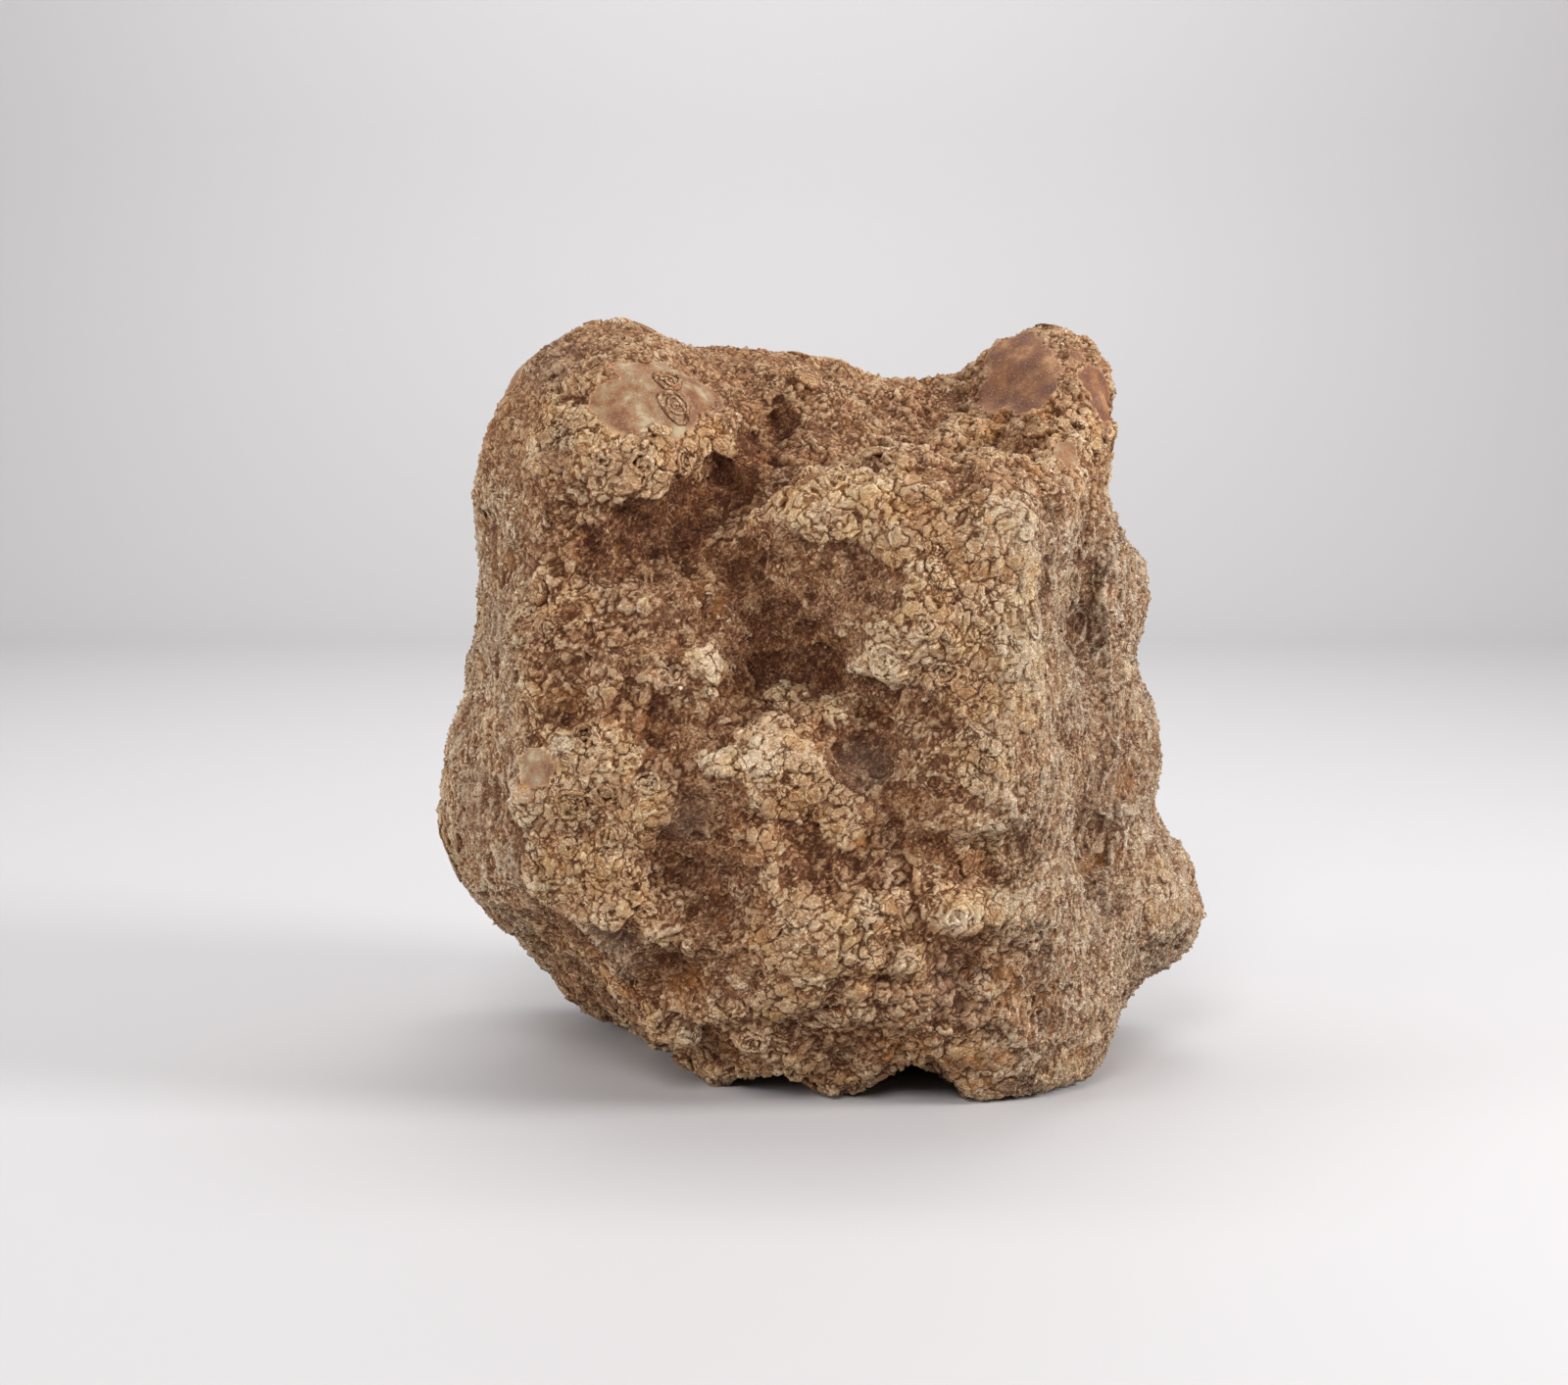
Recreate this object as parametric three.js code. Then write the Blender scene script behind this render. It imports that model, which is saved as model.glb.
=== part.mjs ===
// An unopened geode: one solid lump of crusted chalcedony, about 120 mm across.
//
// It stands on a table as it was found: a round knob at the top left, a blunt horn at the top right
// and a saddle between them, over a block with a flat front, a right flank that runs back from an
// upright corner, and a lower left side that is cut away. The whole stone is written as one distance
// field: flat facets give the block, broad hollows shape it, lumps and ridges are blended on, and
// furrows and pits are worn into it. A ball of triangles is then drawn in onto that skin.
//
// Millimetres, +X to the right, +Y to the back, +Z up. The origin is the centre of the footprint of
// the bounding box, on the table.
import * as THREE from "three";
import { ImprovedNoise } from "three/addons/math/ImprovedNoise.js";
import { mergeVertices } from "three/addons/utils/BufferGeometryUtils.js";

// Driving dimensions.
const HEART = new THREE.Vector3(0, 2, 54); // every ray starts here, well inside the stone
const FAR = 110; // from the heart to a shell that clears the whole stone
const TABLE = 0; // the height at which the feet are worn flat
const FACET_ROUNDING = 14; // how softly two facets of the block meet
const BALL_DETAIL = 21; // 20 x (21 + 1)^2 triangles
const EVENING_ROUNDS = 14; // passes that even out the triangles on the skin
const EVENING_PULL = 0.6; // the share of the way that a corner moves to the middle of its neighbours
const STRIDE = 0.5; // the share of the distance to the skin that is walked at a time
const CLOSE = 0.01; // near enough to the skin to stop
const WORN_FLAT = 0.1; // what is this near the table is worn flat on it

// The block: facets that each pass through a point and face outwards.
const FACETS = [
  { name: "front", through: [-4, -42, 56], facing: [0.02, -1, 0.02] },
  { name: "front above", through: [0, -37, 88], facing: [-0.05, -0.85, 0.52] },
  { name: "front below", through: [6, -40, 22], facing: [0.05, -0.9, -0.42] },
  { name: "right flank, front half", through: [43, -14, 55], facing: [0.93, -0.36, 0.08] },
  { name: "right flank, back half", through: [55, 16, 50], facing: [0.96, 0.2, 0.23] },
  { name: "left flank, front half", through: [-50.5, -16, 55], facing: [-0.92, -0.38, 0.1] },
  { name: "left flank, back half", through: [-56.5, 12, 48], facing: [-0.95, 0.28, 0.13] },
  { name: "cut away at the lower left", through: [-43, -8, 20], facing: [-0.62, -0.3, -0.72] },
  { name: "cut away under the front", through: [-18, -27, 8], facing: [-0.3, -0.55, -0.78] },
  { name: "cut away at the lower right", through: [53, 4, 9], facing: [0.72, 0.02, -0.69] },
  { name: "back", through: [0, 48, 52], facing: [0.05, 1, 0.02] },
  { name: "back above", through: [4, 36, 86], facing: [0.05, 0.76, 0.65] },
  { name: "back below", through: [0, 40, 14], facing: [0.1, 0.7, -0.7] },
  { name: "back left corner", through: [-38, 36, 52], facing: [-0.7, 0.7, 0.08] },
  { name: "back right corner", through: [42, 38, 52], facing: [0.7, 0.72, 0.05] },
  { name: "top", through: [0, 4, 103], facing: [0.04, -0.2, 0.98] },
];

// Broad hollows: ellipsoids worn out of the block before anything is blended onto it.
const BROAD_HOLLOWS = [
  { name: "saddle", at: [14, -10, 111], half: [26, 24, 13], blend: 8 },
  { name: "right flank behind the corner", at: [48, -22, 70], half: [12, 14, 26], blend: 8 },
  { name: "middle of the front", at: [-5, -50, 69], half: [16, 16, 17], blend: 5 },
  { name: "back of the saddle", at: [10, 52, 108], half: [26, 20, 16], blend: 9 },
  { name: "left flank above the lobe", at: [-68, 24, 72], half: [12, 20, 14], blend: 9 },
];

// Lumps: ellipsoids blended on.
const LUMPS = [
  { name: "knob at the top left", at: [-28, -9, 92.5], half: [18.5, 25, 19.5], blend: 7 },
  { name: "shoulder of the knob", at: [-35, -4, 95], half: [12.5, 16, 15], blend: 6 },
  { name: "crown behind the knob", at: [-11, 5, 96.5], half: [22, 20, 13], blend: 8 },
  { name: "horn at the top right", at: [35.5, 14, 100.5], half: [11.5, 13, 12.5], blend: 5 },
  { name: "corner of the horn", at: [39, 12, 105.5], half: [7, 9, 7], blend: 4 },
  { name: "shoulder of the horn", at: [30, 12, 85], half: [10, 18, 14], blend: 6 },
  { name: "bulge on the right flank", at: [41, 12, 70], half: [11.5, 18, 13], blend: 5 },
  { name: "swelling on the right flank", at: [43, 8, 48], half: [10.5, 18, 12], blend: 6 },
  { name: "lobe at the lower right", at: [46, 5, 24], half: [14, 20, 12], blend: 7 },
  { name: "shelf at the front top", at: [13, -25, 76], half: [19, 17, 15], blend: 5 },
  { name: "lobe at the lower left", at: [-43, -4, 40], half: [12.5, 20, 17], blend: 6 },
  { name: "belly below the step", at: [8, -27, 28], half: [24, 15, 18], blend: 8 },
  { name: "front foot", at: [3, -17, 4], half: [5, 6, 8], blend: 5 },
  { name: "left foot", at: [-13, -13, 4], half: [7, 8, 6], blend: 6 },
  { name: "right foot", at: [26, -16, 6], half: [13, 11, 12], blend: 6 },
  { name: "outer edge of the right foot", at: [35, -1, 6], half: [7, 7, 7], blend: 4 },
  { name: "knob on the back", at: [-20, 38, 66], half: [20, 15, 22], blend: 8 },
  { name: "swelling low on the back", at: [18, 38, 34], half: [24, 13, 18], blend: 8 },
  { name: "shoulder at the back left", at: [-40, 26, 32], half: [16, 16, 14], blend: 7 },
];

// Ridges: rounded bars blended on, from one end to the other.
const RIDGES = [
  { name: "front right corner", from: [26, -35, 82], to: [25, -38, 46], radius: 6, blend: 4 },
  { name: "corner below the step", from: [26, -35, 38], to: [28, -28, 12], radius: 6, blend: 6 },
  { name: "rim of the front shelf", from: [3, -34, 86], to: [24, -32, 84], radius: 6, blend: 5 },
  { name: "branch of the rim", from: [-5, -34, 84], to: [12, -16, 93], radius: 4.5, blend: 3 },
  { name: "front left corner", from: [-37, -29, 76], to: [-38, -33, 44], radius: 6, blend: 5 },
  { name: "ledge over the cut", from: [-38, -33, 38], to: [-14, -38, 27], radius: 5, blend: 4 },
  { name: "lip between the basins", from: [-27, -34, 28], to: [-21, -26, 11], radius: 3.5, blend: 6 },
  { name: "lip under the right basin", from: [-13, -36, 24], to: [-5, -28, 8], radius: 4.5, blend: 7 },
  { name: "step across the belly", from: [4, -39, 43], to: [25, -38, 43], radius: 4.5, blend: 3 },
  { name: "back of the saddle", from: [-10, 10, 103], to: [24, 14, 101], radius: 4, blend: 6 },
  { name: "edge of the horn", from: [40, 4, 100], to: [29, -22, 84], radius: 5, blend: 6 },
  { name: "rib down the right flank", from: [42, -6, 80], to: [45, -9, 44], radius: 4.5, blend: 4 },
  { name: "rib at the lower right", from: [46, -4, 34], to: [38, -16, 14], radius: 5, blend: 5 },
];

// Furrows: round-bottomed grooves worn in, from one end to the other.
const FURROWS = [
  { name: "furrow under the knob", from: [-4, -26, 100], to: [-20, -40, 85], radius: 7, blend: 5 },
  { name: "end of that furrow", from: [-20, -40, 85], to: [-42, -40, 79], radius: 5, blend: 6 },
  { name: "valley behind the rim", from: [10, -19, 99], to: [24, -16, 98], radius: 7.5, blend: 6 },
  { name: "groove by the corner", from: [36, -33, 81], to: [35, -34, 62], radius: 5, blend: 4 },
  { name: "groove beside the rib", from: [40, -24, 56], to: [42, -20, 32], radius: 4.5, blend: 4 },
  { name: "groove on the left flank", from: [-49, -30, 60], to: [-47, -32, 34], radius: 5, blend: 5 },
  { name: "groove under the step", from: [6, -45, 38], to: [30, -43, 38], radius: 4, blend: 3 },
  { name: "arch between the feet", from: [13, -34, -2], to: [13, -8, -3], radius: 6.5, blend: 3 },
  { name: "arch at the left", from: [-6, -26, -2], to: [-6, -6, -3], radius: 6, blend: 3 },
];

// Bosses: small round swellings, each by a point near the skin.
const BOSSES = [
  { name: "boss on the front of the shelf", near: [12, -43, 69], radius: 7.5, height: 3.6 },
  { name: "boss at the corner of the shelf", near: [22, -40, 80], radius: 6, height: 1.6 },
  { name: "boss left of the middle", near: [-10, -44, 51], radius: 8, height: 3 },
  { name: "boss under the hollow", near: [-3, -42, 60], radius: 3.5, height: 2 },
  { name: "boss at the left corner", near: [-40, -38, 48], radius: 7, height: 2.4 },
  { name: "boss left of the hollow", near: [-14, -42, 65], radius: 5, height: 2.2 },
  { name: "boss at the top of the left corner", near: [-36, -34, 72], radius: 6, height: 2 },
  { name: "boss on the belly", near: [-2, -43, 26], radius: 7, height: 2.4 },
  { name: "boss low on the belly", near: [19, -41, 30], radius: 5, height: 1.8 },
  { name: "boss above the arch", near: [-6, -36, 17], radius: 6, height: 2 },
  { name: "boss on the lower left lobe", near: [-52, -18, 30], radius: 7, height: 2 },
  { name: "boss on the knob", near: [-27, -34, 92], radius: 8, height: 1.8 },
];

// Pits: small round wells, each by a point near the skin.
const PITS = [
  { name: "deep of the middle, left", near: [-6, -36, 65], radius: 5, depth: 5 },
  { name: "deep of the middle, right", near: [1, -36, 65], radius: 4.5, depth: 4.5 },
  { name: "pit below the furrow", near: [-11, -38, 79], radius: 4.5, depth: 4 },
  { name: "pit right of the furrow", near: [5, -42, 80], radius: 4.5, depth: 1.6 },
  { name: "pit beside the boss", near: [6, -43, 54], radius: 4, depth: 4.5 },
  { name: "pit above it", near: [6, -43, 60], radius: 4, depth: 2 },
  { name: "left of the middle", near: [-21, -42, 57], radius: 6, depth: 3 },
  { name: "upper left of the middle", near: [-20, -41, 69], radius: 4.5, depth: 2.6 },
  { name: "pit by the left corner", near: [-34, -39, 59], radius: 3.5, depth: 3 },
  { name: "pit high by the left corner", near: [-27, -38, 71], radius: 3.5, depth: 2 },
  { name: "left basin in the cut", near: [-36, -32, 21], radius: 5.5, depth: 2.6 },
  { name: "right basin in the cut", near: [-20, -36, 20], radius: 5, depth: 2.8 },
  { name: "basin over the ledge", near: [-14, -42, 31], radius: 6, depth: 3 },
  { name: "basin on the belly", near: [-22, -43, 39], radius: 4.5, depth: 1.8 },
  { name: "pit on the belly", near: [0, -44, 37], radius: 4, depth: 1.8 },
  { name: "pit right on the belly", near: [20, -41, 22], radius: 5.5, depth: 2.6 },
  { name: "low on the right flank", near: [41, -16, 36], radius: 5, depth: 4 },
  { name: "high on the right flank", near: [42, -10, 80], radius: 4, depth: 2.6 },
  { name: "middle of the right flank", near: [41, -13, 67], radius: 4, depth: 3 },
  { name: "rear of the right flank", near: [48, -4, 48], radius: 4.5, depth: 3 },
  { name: "hollow below the horn", near: [24, -10, 96], radius: 6, depth: 2.5 },
  { name: "pit in the valley", near: [14, -19, 90], radius: 4, depth: 2.4 },
  { name: "pit in the left flank", near: [-48, -24, 62], radius: 4, depth: 2.4 },
];

// Weathering: knobs and wells spread over the whole stone, from the deepest well to the highest knob.
const WEATHERING = { count: 420, radius: [2.6, 5.2], rise: [-2.6, 1.9] };


// A mark dies away with the square of the distance in radii, and is nothing past its reach.
const MARK_FALL = 1.5;
const MARK_REACH = 4;

// Sizes of uneven swelling over everything, from wave to wave and from dip to crest.
const SWELLINGS = [
  { wave: 17, height: 1.8 },
  { wave: 8, height: 1.5 },
];

const noise = new ImprovedNoise();

// Distance to an ellipsoid, close to true near its surface.
function ellipsoid(p, { at, half }) {
  const x = p.x - at[0];
  const y = p.y - at[1];
  const z = p.z - at[2];
  const level = Math.hypot(x / half[0], y / half[1], z / half[2]);
  const slope = Math.hypot(x / half[0] ** 2, y / half[1] ** 2, z / half[2] ** 2);
  return slope > 0 ? (level * (level - 1)) / slope : -Math.min(...half);
}

// Distance to a bar with round ends.
function bar(p, { from, to, radius }) {
  const start = new THREE.Vector3(...from);
  const span = new THREE.Vector3(...to).sub(start);
  const reach = p.clone().sub(start);
  const along = THREE.MathUtils.clamp(reach.dot(span) / span.lengthSq(), 0, 1);
  return reach.addScaledVector(span, -along).length() - radius;
}

// The smaller of two distances, with the crease between them filled over a width of blend.
function join(a, b, blend) {
  const near = Math.max(blend - Math.abs(a - b), 0) / blend;
  return Math.min(a, b) - (near * near * blend) / 4;
}

// What is left of a once b is taken away, with its edge eased over a width of blend.
const wear = (a, b, blend) => -join(-a, b, blend);

const planes = FACETS.map(({ through, facing }) => {
  const normal = new THREE.Vector3(...facing).normalize();
  return new THREE.Plane().setFromNormalAndCoplanarPoint(normal, new THREE.Vector3(...through));
});

// Distance to the skin before the bosses, the pits and the swellings, negative inside.
function body(p) {
  let d = planes.reduce((far, plane) => wear(far, -plane.distanceToPoint(p), FACET_ROUNDING), -FAR);
  for (const hollow of BROAD_HOLLOWS) d = wear(d, ellipsoid(p, hollow), hollow.blend);
  for (const lump of LUMPS) d = join(d, ellipsoid(p, lump), lump.blend);
  for (const ridge of RIDGES) d = join(d, bar(p, ridge), ridge.blend);
  for (const furrow of FURROWS) d = wear(d, bar(p, furrow), furrow.blend);
  return d;
}

// Walks in from outside along a ray until it meets the skin of a field.
function skinAlong(ray, field) {
  const p = HEART.clone().addScaledVector(ray, FAR);
  for (let d = field(p); d > CLOSE; d = field(p)) p.addScaledVector(ray, -d * STRIDE);
  return p;
}

// Moves a point that is near the skin of a field onto it, down the slope.
function settle(p, field) {
  const nudge = 0.05;
  const gentlest = 0.25;
  const d = field(p);
  const slope = new THREE.Vector3(
    field(new THREE.Vector3(p.x + nudge, p.y, p.z)) - d,
    field(new THREE.Vector3(p.x, p.y + nudge, p.z)) - d,
    field(new THREE.Vector3(p.x, p.y, p.z + nudge)) - d,
  ).divideScalar(nudge);
  return p.addScaledVector(slope, -d / Math.max(slope.lengthSq(), gentlest));
}

// Evenly spread directions, on a spiral from the top of a ball to its foot.
function spread(count) {
  const turn = Math.PI * (3 - Math.sqrt(5));
  return Array.from({ length: count }, (_, i) => {
    const z = 1 - (2 * i + 1) / count;
    const around = Math.sqrt(1 - z * z);
    return new THREE.Vector3(around * Math.cos(i * turn), around * Math.sin(i * turn), z);
  });
}

// A share from 0 to 1 that looks random and is the same each time.
function chance(seed) {
  const stirred = Math.sin(seed * 12.9898) * 43758.5453;
  return stirred - Math.floor(stirred);
}

// Every mark on the skin: where it is, how far it reaches, and how far it lifts or sinks the skin.
const named = [...BOSSES, ...PITS].map(({ near, radius, height, depth }) => {
  const at = settle(settle(new THREE.Vector3(...near), body), body);
  return { at, radius, rise: height ?? -depth };
});
const weathered = spread(WEATHERING.count).map((ray, i) => ({
  at: skinAlong(ray, body),
  radius: THREE.MathUtils.lerp(...WEATHERING.radius, chance(i)),
  rise: THREE.MathUtils.lerp(...WEATHERING.rise, chance(i + WEATHERING.count)),
}));
const marks = [...named, ...weathered];

// Distance to the finished skin, negative inside.
function stone(p) {
  let d = body(p);
  for (const { at, radius, rise } of marks) {
    const share = p.distanceToSquared(at) / (radius * radius);
    if (share < MARK_REACH) d -= rise * Math.exp(-share * MARK_FALL);
  }
  for (const { wave, height } of SWELLINGS) {
    d -= height * noise.noise(p.x / wave, p.y / wave, p.z / wave);
  }
  return Math.max(d, TABLE - p.z);
}

// The vertices that share an edge with each vertex.
function neighboursOf(skin) {
  const corners = skin.index.array;
  const near = Array.from({ length: skin.getAttribute("position").count }, () => new Set());
  for (let i = 0; i < corners.length; i += 3) {
    for (let k = 0; k < 3; k++) near[corners[i + k]].add(corners[i + ((k + 1) % 3)]);
  }
  return near.map((set) => [...set]);
}

// The skin of the stone: a ball drawn in along its rays, then evened out, with its feet on the table.
function geode() {
  const ball = new THREE.IcosahedronGeometry(1, BALL_DETAIL);
  ball.deleteAttribute("normal");
  ball.deleteAttribute("uv");
  const skin = mergeVertices(ball);
  const place = skin.getAttribute("position");
  const near = neighboursOf(skin);
  let points = near.map((_, i) => {
    const ray = new THREE.Vector3().fromBufferAttribute(place, i).normalize();
    return skinAlong(ray, stone);
  });

  for (let round = 0; round < EVENING_ROUNDS; round++) {
    points = points.map((p, i) => {
      const middle = new THREE.Vector3();
      for (const k of near[i]) middle.add(points[k]);
      return p.clone().lerp(middle.divideScalar(near[i].length), EVENING_PULL);
    });
    for (const p of points) settle(p, stone);
  }

  points.forEach((p, i) => place.setXYZ(i, p.x, p.y, p.z < TABLE + WORN_FLAT ? TABLE : p.z));
  skin.computeBoundingBox();
  const middle = skin.boundingBox.getCenter(new THREE.Vector3());
  skin.translate(-middle.x, -middle.y, 0);
  skin.computeVertexNormals();
  return skin;
}

const crust = new THREE.MeshStandardMaterial({ color: 0x9c7a52, roughness: 0.95, metalness: 0 });
const whole = new THREE.Mesh(geode(), crust);
whole.name = "geode";

const part = new THREE.Group();
part.add(whole);
export default part;
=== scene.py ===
# An unopened geode: a blocky lump of chalcedony in a crust of tan plates and crumbs over brown clay.
import math

import bmesh
import bpy
import numpy as np
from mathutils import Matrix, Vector, noise
from mathutils.bvhtree import BVHTree
from mathutils.kdtree import KDTree


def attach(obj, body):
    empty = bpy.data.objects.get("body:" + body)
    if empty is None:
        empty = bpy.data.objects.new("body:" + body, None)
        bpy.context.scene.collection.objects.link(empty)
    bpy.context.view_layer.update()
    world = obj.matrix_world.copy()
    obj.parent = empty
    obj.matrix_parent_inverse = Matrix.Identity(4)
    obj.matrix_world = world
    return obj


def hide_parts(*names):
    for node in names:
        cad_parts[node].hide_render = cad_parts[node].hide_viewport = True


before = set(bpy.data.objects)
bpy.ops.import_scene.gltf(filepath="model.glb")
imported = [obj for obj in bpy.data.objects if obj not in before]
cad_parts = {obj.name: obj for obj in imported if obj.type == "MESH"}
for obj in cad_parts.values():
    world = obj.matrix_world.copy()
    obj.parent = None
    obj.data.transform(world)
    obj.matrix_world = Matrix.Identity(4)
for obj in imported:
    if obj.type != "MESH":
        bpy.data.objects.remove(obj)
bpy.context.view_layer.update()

MM = 0.001  # sizes and places are in millimetres up to the point where a mesh is made

# ---- Driving sizes, in millimetres ----

SKIN_STEP = 0.82  # width of the faces that the lumps and pits are carried by; the crust halves it
SINK = 0.5  # how far whatever lies on the skin reaches down into it
WIDE_CELL = 2.2  # width of the larger plates that the crust is cracked into
FINE_CELL = 1.1  # and of the smaller ones that many of those are broken into
CRUST_LIFT = 0.5  # how far the plates of the crust stand over its cracks
POCK_SPACING = 3.1  # from one small hole to the next, where none is left out
PLATE_SPACING = 2.0  # from one loose plate to the next
PLATE_HEIGHTS = (0.05, 0.25)
PLATE_STRETCH = 1.4  # how much longer than wide the plates tend to be
PLATE_CORNERS = 9
PLATE_RINGS = ((1.0, 0.6), (0.78, 1.0))  # share of the reach and of the height, from the rim inwards
PLATE_GAP = 0.04  # what each plate draws back from its neighbours
RING_STEPS = 20  # corners round a ring of a rosette
RING_WIDTH = 0.7
RING_HEIGHT = 0.36
CURL_STEPS = 6
CURL_SPACING = 2.8
BAND_SECTION = ((-0.5, None), (-0.5, 0.55), (-0.2, 1.0), (0.22, 0.96), (0.5, 0.5), (0.5, None))
CRUMB_SPACING = 1.5
CRUMB_SIZES = (0.16, 0.46)
CRUMB_SIDES = 5
CRUMB_KINDS = 4
MOST_POINTS = 9.0e6  # to a square metre; the spacing thins them out
SKIN_PIECES = ("stone_front", "stone_face", "stone_middle", "stone_back")

# ---- What lies where on the stone: x, y, z and reach ----

PLATE_FIELDS = [
    # over the shelf at the front
    (14, -45, 81, 8), (21, -46, 76, 7), (15, -44, 86, 5), (7, -43, 86, 4), (26, -45, 81, 5),
    (21, -47, 65, 6), (26, -47, 62, 5), (11, -49, 69, 5), (-1, -43, 86, 4), (3, -42, 90, 4),
    # below the window on the knob
    (-28, -40, 94, 5), (-21, -36, 93, 6), (-33, -39, 97, 4), (-39, -36, 96, 4), (-14, -29, 97, 3),
    # by the left corner
    (-32, -46, 46, 6), (-26, -47, 42, 6), (-33, -46, 39, 5), (-30, -47, 52, 4), (-36, -44, 57, 4),
    (-28, -46, 35, 4), (-39, -42, 34, 4), (-31, -46, 31, 3), (-56, -15, 37, 4),
    # across the middle and the belly
    (-9, -48, 53, 4), (-7, -47, 46, 4), (-11, -47, 42, 4), (1, -46, 46, 4), (-1, -49, 27, 4),
    (-6, -45, 19, 3), (-5, -39, 61, 3), (2, -43, 59, 2), (18, -48, 31, 3), (26, -44, 30, 2),
    (11, -45, 24, 2), (22, -49, 52, 4), (22, -45, 40, 3),
    # on the horn, the right lobe and the foot
    (22, -8, 97, 3), (38, -12, 97, 3), (52, -14, 29, 4), (22, -37, 6, 4), (36, -30, 5, 3),
]
NODULES = [
    (-17, -44, 66, 2), (-5, -39, 61, 2.4), (1, -42, 59, 1.5), (-17, -45, 60, 1.2), (4, -44, 65, 1.4),
    (8, -45, 65, 2.4), (-9, -48, 53, 2.4), (-15, -49, 52, 1.6), (-4, -47, 53, 1.5), (2, -45, 42, 2),
    (14, -45, 37, 1.4), (5, -48, 31, 1.4), (18, -48, 30, 2), (27, -45, 31, 1.5), (11, -45, 24, 1.6),
    (22, -41, 19, 1.4), (36, -30, 4, 1.4), (-20, -34, 10, 1.3), (-25, -44, 27, 1.4), (-12, -44, 21, 1.4),
    (-2, -46, 21, 1.4), (-31, -45, 29, 1.4), (-40, -37, 77, 1.2), (-37, -45, 54, 1.2),
]
FURROW = [
    (-6, -20, 99, 1.5), (-10, -26, 95, 2.5), (-14, -30, 90, 3), (-20, -35, 86, 3.5), (-26, -37, 84, 3.5),
    (-33, -39, 81, 2),
]
CLAY_HOLLOWS = [
    # the middle of the front
    (-6, -40, 75, 7), (-9, -39, 70, 6), (-2, -37, 64, 4), (-7, -37, 65, 3), (3, -44, 76, 4),
    (1, -43, 70, 4), (-20, -46, 57, 4), (-21, -43, 69, 3), (-21, -41, 77, 3), (7, -46, 75, 3),
    (5, -44, 53, 4), (5, -43, 60, 3), (-16, -48, 45, 4), (-14, -46, 38, 3), (-18, -45, 39, 4),
    (10, -46, 45, 3), (14, -46, 42, 3),
    # the cut at the lower left
    (-38, -13, 17, 5), (-29, -43, 26, 3), (-22, -38, 20, 4), (-16, -44, 29, 3), (-13, -44, 21, 3),
    # grooves and pits at both sides
    (16, -41, 91, 3), (32, -34, 78, 3), (36, -14, 68, 3), (33, -33, 58, 4), (45, -18, 45, 3),
    (38, -19, 37, 4), (-48, -28, 50, 2), (-44, -32, 40, 3), (-49, -20, 80, 4),
]
PITS = [
    # in and round the hollow at the front
    (-7, -39, 70, 2.2), (-2, -37, 63, 2.4), (-8, -37, 63, 1.8), (6, -44, 53, 2.0), (-12, -38, 78, 1.6),
    (-20, -37, 81, 1.4), (-24, -45, 57, 2.2), (-13, -48, 54, 1.4), (5, -47, 34, 1.3), (21, -43, 37, 1.6),
    # by the left corner and on the left flank
    (-34, -43, 58, 2.0), (-29, -43, 70, 1.2), (-30, -46, 59, 1.2), (-46, -39, 65, 1.0), (-46, -27, 76, 1.3),
    (-53, -20, 52, 0.9), (-48, -27, 44, 1.3),
    # on the right flank
    (32, -34, 76, 2.3), (39, -14, 67, 2.0), (34, -25, 65, 1.4), (38, -19, 36, 1.4), (37, -23, 51, 1.5),
    # in the cut and on the shelf
    (-36, -20, 13, 2.2), (-26, -38, 18, 2.2), (13, -42, 86, 1.6), (19, -42, 89, 1.6), (17, -32, 95, 1.6),
]
CRESTS = [  # name, reach, rise and the places each runs through
    ("crest of the left corner", 1.3, 1.0, [(-43, -41, 57), (-42, -44, 50), (-42, -42, 42), (-41, -41, 35)]),
    ("groove beside it", 1.3, -1.5, [(-46, -37, 57), (-45.5, -39, 48), (-45, -34, 39)]),
    ("crest of the right corner", 1.7, 0.9,
     [(27, -43, 86), (28, -44, 76), (29, -46, 64), (31, -44, 52), (28, -45, 44)]),
    ("edge of the cut", 1.6, 0.9, [(-41, -41, 33), (-34, -41, 27), (-26, -38, 19), (-19, -37, 14)]),
    ("rim of the shelf", 1.9, 0.9, [(-6, -42, 84), (1, -42, 89), (9, -42, 90), (17, -43, 89), (26, -44, 86)]),
    ("step over the belly", 1.3, 0.9, [(14, -48, 44), (19, -48, 44), (23, -47, 43)]),
    ("ledge beside the hollow", 1.3, 1.0, [(6, -46, 67), (10, -43, 63), (14, -45, 62)]),
]
MILKY_WINDOWS = [
    (-24, -33, 105, 4.5), (-28, -36, 101, 4), (-18, -30, 104, 4), (-22, -34, 100, 3),
    (-46, -14, 107, 4), (-50, -8, 102, 3.5), (-42, -15, 110, 3), (-40, -44, 50.5, 2), (36, -18, 94, 1.8),
]
HONEY_WINDOWS = [
    (29, 3, 110, 3.6), (31, -2, 107, 4), (27, -2, 104, 3.5), (31, -5, 103, 3),
    (42, -3, 104, 2.6), (43, -4, 101, 2.2), (39, -2, 110, 1.8),
]
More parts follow.
